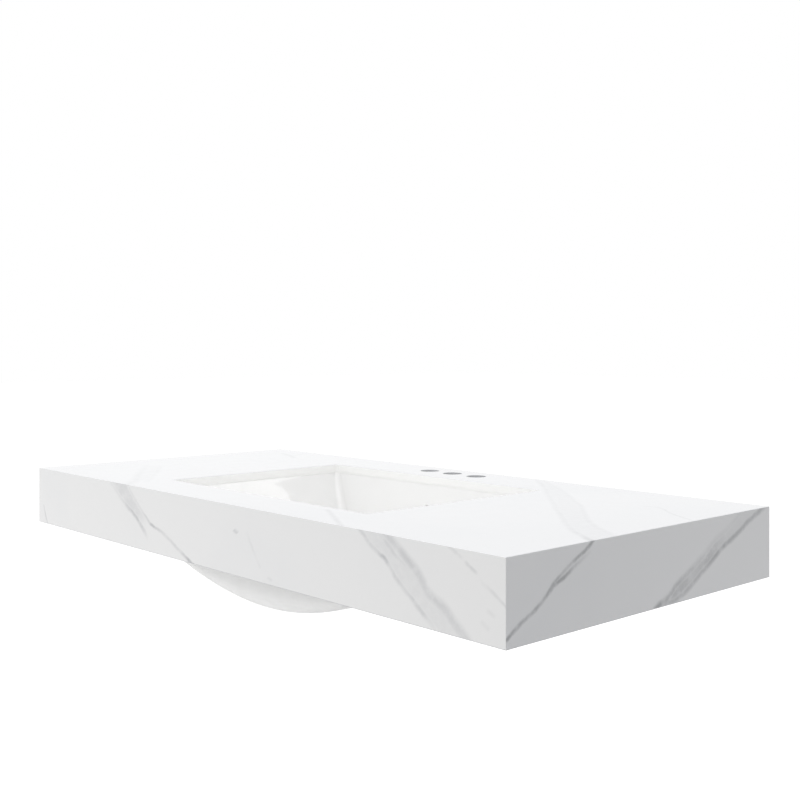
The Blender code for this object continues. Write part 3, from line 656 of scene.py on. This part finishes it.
left_band = vein("left_band", [
    (7, [(-318, -555, .12), (-307.3, -563.7, .13), (-276.7, -582.7, .18), (-250, -597, .42),
         (-223.6, -610, .60), (-200, -628, .42), (-184, -640.4, .08)]),
    (5, [(-256, -555, .16), (-247.1, -563.8, .20), (-223.6, -584.4, .20), (-200.8, -600.4, .24),
         (-186, -610, .40), (-176, -617.1, .46), (-166, -620, .85), (-158, -622, .50),
         (-139, -626.3, .42), (-128, -631, .30), (-100, -643, .34), (-70, -655, .42),
         (-57, -660.5, .80), (-45, -665, .80)]),
], fill=[(-290, -555, .26), (-262, -573, .28), (-230, -592, .28), (-205, -606, .20),
         (-185, -616, .04)])
right_band = vein("right_band", [
    (6, [(338, -555, .34), (350.4, -563.5, .36), (368.8, -578.1, .28), (384, -588, .42),
         (394.2, -593.5, .66), (404, -602, .24), (415.4, -613.9, .36), (430, -624, .26),
         (446.1, -634.2, .40), (460, -644, .40), (469.3, -650.5, .24), (482, -661, .10)]),
    (12, [(388, -555, .36), (401.2, -564.2, .38), (415, -574, .34), (429.1, -583.8, .46),
          (452.7, -601.1, .42), (462, -611, .36), (472.5, -622.8, .38), (498.3, -636.3, .40),
          (512, -648, .34), (526.2, -658.7, .36), (536, -667, .34)]),
    (8, [(392, -568, .22), (404, -578, .36), (416, -588, .28), (430, -596, .22)]),
], fill=[(362, -555, .13), (395, -578, .17), (440, -616, .16), (505, -662, .15)])
corner_thread = vein("corner_thread", [
    (4, [(500, -559, .18), (515, -567, .20), (523.1, -570.4, .16), (529, -574, .03),
         (534, -577, .30), (546, -583.5, .28), (552, -588, .02), (557, -596, .06),
         (571, -602.1, .18), (592.4, -615.2, .24)]),
])
left_tick = vein("left_tick", [(4, [(-572, -632, .22), (-564, -648, .40), (-555, -664, .50)])])
middle_ticks = vein("middle_ticks", [
    (5, [(99, -598, .03), (111.6, -618.1, .12), (121, -630, .04), (129, -641, .11)]),
    (7, [(69, -599.5, .40), (72, -600.5, .40)]),
    (6, [(152, -655, .16), (155, -656, .16)]),
])
corner_specks = vein("corner_specks", [
    (5, [(558, -640, .10), (566, -644, .10)]),
    (5, [(567, -626, .11), (575, -629, .11)]),
])
front_stone = polished_stone(
    "front_stone", (-math.pi / 2, 0, 0), (0, front_y - top_z, 0),
    [left_band, right_band, corner_thread, left_tick, middle_ticks, corner_specks],
    ground=APRON_LIT_WHITE,
)
front_board.data.materials.append(front_stone)
coat(front_board, sawn_stone, lambda place, facing: facing.y > 0.5)


def shaded_foot_arris(place, facing):
    """A test for the arris at an apron's foot, which gets painted shade: a dark grey line."""
    return place.z < foot_z + ARRIS and -0.99 < facing.z < -0.01


# The front apron's foot arris gets painted shade, a dark grey line.
coat(front_board, painted_shade_stone, shaded_foot_arris)
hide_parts("front_apron")
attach(front_board, "root")


# End aprons: two more boards of the stone, from the wall to the front corners, glued along their
# mitres to the slab and to the front apron.
left_board = glued_block("left_board")
cut_away((left_x + STONE, 0, 0), (1, 0, 0))
cut_away((left_x, 0, top_z), (1, 0, 1))
cut_away((left_x, front_y, 0), (1, -1, 0))
bpy.ops.object.mode_set(mode="OBJECT")
shade(left_board, 40)
right_board = glued_block("right_board")
cut_away((right_x - STONE, 0, 0), (-1, 0, 0))
cut_away((right_x, 0, top_z), (-1, 0, 1))
cut_away((right_x, front_y, 0), (-1, -1, 0))
bpy.ops.object.mode_set(mode="OBJECT")
shade(right_board, 40)

forked_thread = vein("forked_thread", [
    (4.5, [(690, -572, .9), (681.2, -558.7, .95), (667.7, -535.7, .70), (657.2, -512.1, .80),
           (639.6, -487.9, .78), (633.8, -480.9, .85), (622.7, -463, .50), (611.8, -441.2, .80),
           (602.5, -422.5, .90), (594.5, -411.2, .90), (586, -400, .8)]),
    (5, [(641, -488, .6), (636.1, -480.9, .95), (629.5, -463, 1.0), (623, -450, .70),
         (616, -436, .35), (605.8, -415, .10)]),
])
heavy_band = vein("heavy_band", [
    (8, [(700, -288, .95), (692.6, -278.9, .95), (685, -254.6, .70), (670.4, -232.1, .62),
         (660.7, -209.1, .50), (644.2, -176, .36), (624.4, -141.8, .20), (609.4, -106.5, .18),
         (597.9, -85.8, .16), (588, -70, .16)]),
    (7, [(700, -274, .4), (692.5, -263.5, .55), (689.1, -236.6, .60), (677.1, -204.4, .62),
         (664.7, -180.7, .60), (650, -151.7, .78), (637, -126.8, .85), (624.3, -96.2, .78),
         (609.1, -59.4, .72), (594.7, -21.4, .66), (588, -6, .6)]),
], fill=[(700, -282, .30), (690, -258, .46), (672, -222, .60), (660, -196, .40), (645, -168, .58),
         (632, -140, .40), (618, -112, .20), (600, -62, .14), (588, -40, .10)])
right_stone = polished_stone(
    "right_end_stone", (0, -math.pi / 2, 0), (right_x + top_z, 0, 0), [forked_thread, heavy_band])
right_board.data.materials.append(right_stone)
coat(right_board, sawn_stone, lambda place, facing: facing.x < -0.5)
left_end_band = vein("left_end_band", [
    (7, [(-585, -168, .35), (-612, -196, .42), (-640, -236, .55), (-668, -262, .50),
         (-700, -300, .45)]),
    (8, [(-585, -212, .30), (-618, -246, .40), (-652, -282, .48), (-700, -338, .55)]),
], fill=[(-585, -188, .12), (-640, -252, .24), (-700, -320, .22)])
left_end_thread = vein("left_end_thread", [
    (4, [(-588, -402, .40), (-624, -430, .60), (-646, -458, .40), (-672, -478, .62),
         (-700, -506, .5)]),
])
left_stone = polished_stone(
    "left_end_stone", (0, math.pi / 2, 0), (left_x - top_z, 0, 0), [left_end_band, left_end_thread])
left_board.data.materials.append(left_stone)
coat(left_board, sawn_stone, lambda place, facing: facing.x > 0.5)
# The end aprons get the same painted shade along their foot arrises.
for board, apron in ((left_board, "left_apron"), (right_board, "right_apron")):
    coat(board, painted_shade_stone, shaded_foot_arris)
    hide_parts(apron)
    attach(board, "root")


# Back rail and battens: plain strips of the same stone, sawn and left matt. The rail is glued on
# edge under the back of the slab, and a batten behind each mitre holds its apron square.
def finish_node(name, finish):
    """A CAD piece whose shape is right, in its real finish."""
    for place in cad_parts[name].material_slots:
        place.material = finish


for name in ("back_rail", "front_batten", "left_batten", "right_batten"):
    finish_node(name, sawn_stone)


# Basin: one piece of vitreous china, cast with its flange, overflow channel and drain boss, and
# glazed inside. It is drawn as rings from the drain hole up the bowl's wall, over the rim and the
# flange, and down the outside to the boss.
RIM_SETBACK = 0.0015
RIM_ROLL = 0.002
RIM_CORNER = 0.011
FOOT_CORNER = 0.018
OUTSIDE_CORNER = 0.017
CHINA = 0.011
FLANGE = 0.010
FLANGE_REACH = 0.026
FLANGE_COVE = 0.004
BOWL_DEPTH = 0.154
END_WALL = dict(draft=math.radians(5), bow=0.237, fillet=0.072, floor_bow=0.570)
SIDE_WALL = dict(draft=math.radians(0.5), bow=6.0, fillet=0.0225, floor_bow=6.0)
DRAIN_RADIUS = 0.0225
SEAT_RADIUS = 0.033
SEAT_DEPTH = 0.003
BOSS_RADIUS = 0.036
BOSS_DROP = 0.012
SIDE_STEPS, LONG_STEPS, CORNER_STEPS = 14, 22, 12
WALL_STEPS, FLOOR_STEPS, ROLL_STEPS = 32, 14, 6
SHARES = [math.sin(i / WALL_STEPS * math.pi / 2) for i in range(WALL_STEPS + 1)]

rim_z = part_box("basin")[1][2]
basin_y = (CUT_LOW[1] + CUT_HIGH[1]) / 2
rim_half_x = (CUT_HIGH[0] - CUT_LOW[0]) / 2 + RIM_SETBACK
rim_half_y = (CUT_HIGH[1] - CUT_LOW[1]) / 2 + RIM_SETBACK


def round_oblong(half_x, half_y, radius):
    """Points round an oblong with round corners."""
    points = []
    for quarter in range(4):
        cos, sin = round(math.cos(quarter * math.pi / 2)), round(math.sin(quarter * math.pi / 2))
        out, along = (half_x, half_y - radius) if quarter % 2 == 0 else (half_y, half_x - radius)
        steps = LONG_STEPS if quarter % 2 else SIDE_STEPS
        for i in range(steps):
            slide = along * (2 * i / steps - 1)
            points.append((out * cos - slide * sin, out * sin + slide * cos))
        for i in range(CORNER_STEPS):
            angle = i / CORNER_STEPS * math.pi / 2
            reach, rise = out - radius + radius * math.cos(angle), along + radius * math.sin(angle)
            points.append((reach * cos - rise * sin, reach * sin + rise * cos))
    return points


def oblong_ring(half_x, half_y, radius, z):
    """The same points at a level."""
    return [(x, y, z) for x, y in round_oblong(half_x, half_y, radius)]


def drain_ring(radius, z):
    """A circle round the drain, in step with the oblong rings."""
    count = 2 * (SIDE_STEPS + LONG_STEPS) + 4 * CORNER_STEPS
    turns = [(i - SIDE_STEPS / 2) / count * 2 * math.pi for i in range(count)]
    return [(radius * math.cos(turn), radius * math.sin(turn), z) for turn in turns]


def floor_depth(x, y):
    """The depth of the bowl's floor, which falls to the drain from all round."""
    return BOWL_DEPTH - x * x / (2 * END_WALL["floor_bow"]) - y * y / (2 * SIDE_WALL["floor_bow"])


def wall_insets(half, outset, draft, bow, fillet, floor_bow, rounds=8):
    """How far in a bowed wall has come at each share of its depth, down to the floor.

    Where its foot lies depends on how far in it has come there, so that is settled in rounds.
    """
    slope, radius = math.tan(draft), fillet + outset
    reach, foot = half, BOWL_DEPTH
    for _ in range(rounds):
        depth = BOWL_DEPTH + outset - reach * reach / (2 * floor_bow)
        lean = math.atan(slope + foot / bow)
        level = math.pi / 2 - math.atan(reach / floor_bow)
        foot = depth - radius * (math.sin(level) - math.sin(lean))
        foot_inset = slope * foot + foot * foot / (2 * bow)
        reach = half - foot_inset - radius * (math.cos(lean) - math.cos(level))
    insets = []
    for share in SHARES:
        down = share * depth
        if down < foot:
            insets.append(slope * down + down * down / (2 * bow))
        else:
            turn = math.asin(min(math.sin(lean) + (down - foot) / radius, math.sin(level)))
            insets.append(foot_inset + radius * (math.cos(lean) - math.cos(turn)))
    return insets


def bowl_rings(outset, drain_radius):
    """Rings down the wall and over the floor, this far outside the bowl's inner face."""
    half_x, half_y = rim_half_x + outset, rim_half_y + outset
    ends = wall_insets(half_x, outset, **END_WALL)
    sides = wall_insets(half_y, outset, **SIDE_WALL)
    rim_corner, foot_corner = RIM_CORNER, FOOT_CORNER
    if outset:
        rim_corner = foot_corner = OUTSIDE_CORNER
    foot = round_oblong(half_x - ends[-1], half_y - sides[-1], foot_corner)
    rings = []
    for share, end_inset, side_inset in zip(SHARES, ends, sides):
        corner = rim_corner + (foot_corner - rim_corner) * share
        outline = round_oblong(half_x - end_inset, half_y - side_inset, corner)
        rings.append([(x, y, -share * (floor_depth(*below) + outset))
                      for (x, y), below in zip(outline, foot)])
    drain = drain_ring(drain_radius, 0)
    for step in range(1, FLOOR_STEPS + 1):
        inwards = step / FLOOR_STEPS
        ring = []
        for (foot_x, foot_y), (drain_x, drain_y, _) in zip(foot, drain):
            x = foot_x + (drain_x - foot_x) * inwards
            y = foot_y + (drain_y - foot_y) * inwards
            ring.append((x, y, -(floor_depth(x, y) + outset)))
        rings.append(ring)
    return rings


def through_rings(name, rings):
    """A closed skin through rings of points round the drain.

    A circle is extruded from ring to ring, and the last ring is bridged to the first.
    """
    bpy.ops.object.select_all(action="DESELECT")
    bpy.ops.mesh.primitive_circle_add(vertices=len(rings[0]), radius=1)
    piece = bpy.context.object
    piece.name = piece.data.name = name
    for vertex, point in zip(piece.data.vertices, rings[0]):
        vertex.co = Vector(point) + Vector((0, basin_y, rim_z))
    open_up(piece)
    bpy.ops.mesh.select_mode(type="VERT")
    bpy.ops.mesh.select_all(action="SELECT")
    order = {i: i for i in range(len(rings[0]))}
    for ring in rings[1:]:
        bpy.ops.mesh.extrude_region_move()
        work = bmesh.from_edit_mesh(piece.data)
        work.verts.index_update()
        fresh = {}
        for vertex in work.verts:
            if vertex.select:
                older = [edge.other_vert(vertex) for edge in vertex.link_edges]
                step = next(order[other.index] for other in older if other.index in order)
                vertex.co = Vector(ring[step]) + Vector((0, basin_y, rim_z))
                fresh[vertex.index] = step
        order = fresh
        bmesh.update_edit_mesh(piece.data)
    bpy.ops.mesh.select_mode(type="EDGE")
    bpy.ops.mesh.select_all(action="DESELECT")
    work = bmesh.from_edit_mesh(piece.data)
    for edge in work.edges:
        edge.select = edge.is_boundary
    bmesh.update_edit_mesh(piece.data)
    bpy.ops.mesh.bridge_edge_loops()
    bpy.ops.mesh.select_all(action="SELECT")
    bpy.ops.mesh.normals_make_consistent(inside=False)
    bpy.ops.object.mode_set(mode="OBJECT")
    return piece


def rim_turn(step):
    """A ring on the roll between the rim and the bowl's wall."""
    angle = step / ROLL_STEPS * math.pi / 2
    out, down = RIM_ROLL * (1 - math.sin(angle)), RIM_ROLL * (1 - math.cos(angle))
    return oblong_ring(rim_half_x + out, rim_half_y + out, RIM_CORNER + out, -down)


def rings_below(depth, rings):
    """The rings that lie deeper than this all round."""
    return [ring for ring in rings if max(z for _, _, z in ring) < -depth]


inner = rings_below(RIM_ROLL, bowl_rings(0, SEAT_RADIUS))
outer = rings_below(FLANGE + FLANGE_COVE, bowl_rings(CHINA, BOSS_RADIUS))
seat = -(BOWL_DEPTH + SEAT_DEPTH)
boss_foot = -(BOWL_DEPTH + CHINA + BOSS_DROP)
flange = (rim_half_x + FLANGE_REACH, rim_half_y + FLANGE_REACH, RIM_CORNER + FLANGE_REACH)
cove = CHINA + FLANGE_COVE
basin = through_rings("basin_china", [
    drain_ring(DRAIN_RADIUS, boss_foot), drain_ring(DRAIN_RADIUS, seat),
    drain_ring(SEAT_RADIUS, seat), *reversed(inner),
    *[rim_turn(step) for step in range(ROLL_STEPS, -1, -1)],
    oblong_ring(*flange, 0), oblong_ring(*flange, -FLANGE),
    oblong_ring(rim_half_x + cove, rim_half_y + cove, RIM_CORNER + cove, -FLANGE),
    *outer, drain_ring(BOSS_RADIUS, boss_foot),
])

# The overflow channel is a boxed duct down the back of the bowl and under its floor to the boss,
# with a passage inside it, open at the flange, and an oval hole into it from the bowl.
CHANNEL_WIDTH = 0.050
CHANNEL_PROUD = 0.014
CHANNEL_DROP = 0.008
CHANNEL_CORNER = 0.022
CHANNEL_CHINA = 0.007
PASSAGE_WIDTH = 0.034
PASSAGE_BACK = 0.008
PASSAGE_HEIGHT = 0.007
CHANNEL_EASE = 0.006
OVERFLOW_LENGTH = 0.030
OVERFLOW_HEIGHT = 0.012
OVERFLOW_DEPTH = 0.045
CUTTER_REACH, CUTTER_CLEAR = 0.030, 0.004
HAIR = 0.00001


def elbow(name, width, back, front, top, head, foot, corner, ease=0):
    """A bent duct's solid: an upright part behind the bowl and a level part under it."""
    side, rear, sole = width / 2, basin_y + back, rim_z - foot
    piece = start_cube(name, (-side, basin_y + front, sole), (side, rear, rim_z - top))
    open_up(piece)
    pick_edges(piece, lambda a, b: abs(a.x - b.x) > side and a.y > basin_y + (front + back) / 2
               and a.z < rim_z - (top + foot) / 2)
    bpy.ops.mesh.bevel(offset=corner, segments=10, profile=0.5, affect="EDGES")
    bpy.ops.object.mode_set(mode="OBJECT")
    cut_with(piece, start_cube(
        name + "_level", (-side, basin_y, sole), (side, rear - corner, rim_z - head)), "UNION")

    def on_outer_bend(a, b):
        on_side = all(abs(abs(end.x) - side) < HAIR for end in (a, b)) and abs(a.x - b.x) < HAIR
        outside = max(a.z, b.z) < sole + corner + HAIR or min(a.y, b.y) > rear - HAIR
        inside = a.z > sole + 10 * HAIR and a.y < rear - corner - 10 * HAIR
        return on_side and outside and not inside

    if ease:
        open_up(piece)
        pick_edges(piece, on_outer_bend)
        bpy.ops.mesh.bevel(offset=ease, segments=4, profile=0.5, affect="EDGES")
        bpy.ops.object.mode_set(mode="OBJECT")
    return piece


channel_back = rim_half_y + CHINA + CHANNEL_PROUD
channel_foot = BOWL_DEPTH + CHINA + CHANNEL_DROP
cut_with(basin, elbow(
    "channel", CHANNEL_WIDTH, channel_back, rim_half_y + CHINA / 2, FLANGE / 2,
    BOWL_DEPTH + CHINA / 2, channel_foot, CHANNEL_CORNER, CHANNEL_EASE), "UNION")
passage_foot = channel_foot - CHANNEL_CHINA
cut_with(basin, elbow(
    "passage", PASSAGE_WIDTH, channel_back - CHANNEL_CHINA, rim_half_y + PASSAGE_BACK,
    -CUTTER_CLEAR, passage_foot - PASSAGE_HEIGHT, passage_foot, CHANNEL_CORNER - CHANNEL_CHINA))
overflow_y, overflow_z = basin_y + rim_half_y, rim_z - OVERFLOW_DEPTH
overflow = start_cube(
    "overflow",
    (-OVERFLOW_LENGTH / 2, overflow_y - CUTTER_REACH, overflow_z - OVERFLOW_HEIGHT / 2),
    (OVERFLOW_LENGTH / 2, overflow_y + PASSAGE_BACK + CUTTER_CLEAR,
     overflow_z + OVERFLOW_HEIGHT / 2))
open_up(overflow)
pick_edges(overflow, lambda a, b: abs(a.y - b.y) > OVERFLOW_HEIGHT)
bpy.ops.mesh.bevel(
    offset=OVERFLOW_HEIGHT / 2 - HAIR, segments=10, profile=0.5, affect="EDGES")
bpy.ops.object.mode_set(mode="OBJECT")
cut_with(basin, overflow)
shade(basin, 35)

china = mottled(
    "glazed_china", 7, pale=(0.903, 0.903, 0.899), deep=(0.916, 0.916, 0.911),
    smooth=0.018, rough=0.035)
tree = china.node_tree
waves = noise(tree, node(tree, "TexCoord").outputs["Object"], 30, detail=1.0)
relief(tree, waves.outputs[0], 0.15, 0.0002)

# The outside, which no one sees once it is fitted, is left unglazed.
biscuit = mottled(
    "unglazed_china", 45, pale=(0.930, 0.930, 0.925), deep=(0.912, 0.912, 0.906),
    smooth=0.55, rough=0.70, bump=0.00015)
basin.data.materials.append(china)
coat(basin, biscuit, lambda place, facing: facing.z < -0.05
     or place.x * facing.x + (place.y - basin_y) * facing.y > 0)
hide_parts("basin")
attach(basin, "root")

# A broad bright window that only the glaze mirrors, over the back edge of the cut-out: as a clear
# patch on the bowl's left end, and as a thin line down its far corner.
WINDOW_WIDTH, WINDOW_HEIGHT = 4.6, 2.54
window = soft_lamp(
    "window_in_glaze", place=(1.637, -0.015, 1.11), aim=(-0.25, -0.28, 0.01),
    size=WINDOW_WIDTH, watts=100)
window.data.shape = "RECTANGLE"
window.data.size_y = WINDOW_HEIGHT
window.visible_camera = window.visible_diffuse = False
window.visible_transmission = window.visible_volume_scatter = False
mirrors = bpy.data.collections.new("mirrors_window")
mirrors.objects.link(basin)
window.light_linking.receiver_collection = mirrors


# Seal: a bead of white silicone between the flange and the slab, wiped smooth from the cut-out's
# lower edge down over the rim of the bowl.
SEAL_REACH = 0.007
SEAL_FOOT = 0.00005
seal_top = under_z - rim_z
bead = through_rings("silicone_bead", [
    oblong_ring(rim_half_x + out, rim_half_y + out, max(RIM_CORNER + out, CUT_CORNER), z)
    for out, z in (
        (SEAL_REACH, seal_top), (-0.0013, seal_top), (-0.00125, 0.0010), (-0.0010, 0),
        (-0.0007, -0.0010), (-0.00045, -0.0017), (-0.00028, -0.0021), (-0.00022, -0.0019),
        (0.0002, -0.0010), (0.00095, -0.0002), (0.0020, SEAL_FOOT), (SEAL_REACH, SEAL_FOOT),
    )
])
shade(bead, 50)
silicone = mottled(
    "white_silicone", 60, pale=(0.915, 0.915, 0.905), deep=(0.935, 0.935, 0.925),
    smooth=0.30, rough=0.45, bump=0.0001)
bead.data.materials.append(silicone)
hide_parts("basin_seal")
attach(bead, "root")


# Brackets, clips, wing nuts, anchors and inserts: the brackets and clips are bent steel and hold up
# the top and the basin, and with their nuts they are zinc-plated. The anchors and inserts are
# turned from brass and let into the stone to take a thread.
zinc = mottled(
    "plated_zinc", 55, pale=(0.61, 0.63, 0.66), deep=(0.56, 0.58, 0.61),
    smooth=0.29, rough=0.36, bump=0.00003, metal=1.0)
brass = mottled(
    "turned_brass", 130, pale=(0.78, 0.60, 0.30), deep=(0.72, 0.54, 0.26),
    smooth=0.24, rough=0.34, bump=0.00003, metal=1.0)
for name in ("wall_bracket_left", "wall_bracket_right"):
    finish_node(name, zinc)
for number in CLIPS:
    finish_node(f"basin_clip_{number}", zinc)
    finish_node(f"wing_nut_{number}", zinc)
for name in anchors + inserts:
    finish_node(name, brass)


# Studs and bolts: zinc-plated steel, with a real thread. A stud stands in each anchor and holds a
# clip, and a bolt with a round head and a hexagon socket goes up through a bracket into its insert.
STUD_RADIUS, STUD_ROOT, STUD_PITCH = 0.0025, 0.00208, 0.0008
BOLT_RADIUS, BOLT_ROOT, BOLT_PITCH = 0.003, 0.00245, 0.001
HEAD_RADIUS, HEAD_HEIGHT, HEAD_ROUND = 0.0058, 0.0036, 0.0010
SOCKET_RADIUS, SOCKET_DEPTH = 0.0023, 0.0020
THREAD_STEPS, HEAD_SIDES = 24, 48
OFF_STEP = 0.01  # of a pitch, so that the saw meets no corner of the thread


def threaded_rod(name, radius, root, pitch, low, high):
    """A thread screwed up round the Z axis from a notch's outline, and sawn off at both ends."""
    bpy.ops.object.select_all(action="DESELECT")
    bpy.ops.mesh.primitive_plane_add(size=1)
    piece = bpy.context.object
    piece.name = piece.data.name = name
    open_up(piece)
    bpy.ops.mesh.select_mode(type="VERT")
    work = bmesh.from_edit_mesh(piece.data)
    for vertex in work.verts:
        vertex.select = vertex.co.x > 0 and vertex.co.y > 0
    bpy.ops.mesh.delete(type="VERT")
    bpy.ops.object.mode_set(mode="OBJECT")
    for vertex in piece.data.vertices:
        crest = vertex.co.x < 0 and vertex.co.y < 0
        rise = 0.5 if crest else (0 if vertex.co.x > 0 else 1)
        vertex.co = (radius if crest else root, 0, low + (rise - 2 + OFF_STEP) * pitch)
    turns = piece.modifiers.new("turns", "SCREW")
    turns.steps = turns.render_steps = THREAD_STEPS
    turns.screw_offset = pitch
    turns.iterations = math.ceil((high - low) / pitch) + 3
    turns.use_merge_vertices = True
    turns.merge_threshold = pitch / 100
    apply_all(piece)
    open_up(piece)
    bpy.ops.mesh.select_all(action="SELECT")
    bpy.ops.mesh.remove_doubles(threshold=pitch / 100)
    cut_away((0, 0, low), (0, 0, -1))
    cut_away((0, 0, high), (0, 0, 1))
    bpy.ops.mesh.select_all(action="SELECT")
    bpy.ops.mesh.normals_make_consistent(inside=False)
    bpy.ops.object.mode_set(mode="OBJECT")
    return piece


def place_copies(pattern, nodes, material):
    """Copies of a finished piece, each with its own mesh, in the places of CAD nodes."""
    for name in nodes:
        low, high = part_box(name)
        copy = bpy.data.objects.new(name + "_threaded", pattern.data.copy())
        copy.data.name = copy.name
        bpy.context.scene.collection.objects.link(copy)
        middle = ((low[0] + high[0]) / 2, (low[1] + high[1]) / 2, low[2])
        copy.data.transform(Matrix.Translation(middle))
        copy.data.materials.clear()
        copy.data.materials.append(material)
        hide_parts(name)
        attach(copy, "root")
    bpy.data.objects.remove(pattern)


low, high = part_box("clip_stud_1")
stud = threaded_rod("clip_stud", STUD_RADIUS, STUD_ROOT, STUD_PITCH, 0, high[2] - low[2])
shade(stud, 30)
place_copies(stud, [f"clip_stud_{number}" for number in CLIPS], zinc)

low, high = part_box("bracket_bolt_1")
bolt = start_cylinder(HEAD_SIDES, HEAD_RADIUS, HEAD_HEIGHT, (0, 0, HEAD_HEIGHT / 2))
open_up(bolt)
pick_edges(bolt, lambda a, b: max(a.z, b.z) < HAIR)
bpy.ops.mesh.bevel(offset=HEAD_ROUND, segments=5, profile=0.5, affect="EDGES")
bpy.ops.object.mode_set(mode="OBJECT")
cut_with(bolt, start_cylinder(6, SOCKET_RADIUS, 2 * SOCKET_DEPTH, (0, 0, 0)))
shank_z = (HEAD_HEIGHT + SOCKET_DEPTH) / 2
shank = threaded_rod(
    "bolt_thread", BOLT_RADIUS, BOLT_ROOT, BOLT_PITCH, shank_z, high[2] - low[2])
cut_with(bolt, shank, "UNION")
shade(bolt, 30)
place_copies(bolt, [f"bracket_bolt_{number}" for number in BOLTS], zinc)
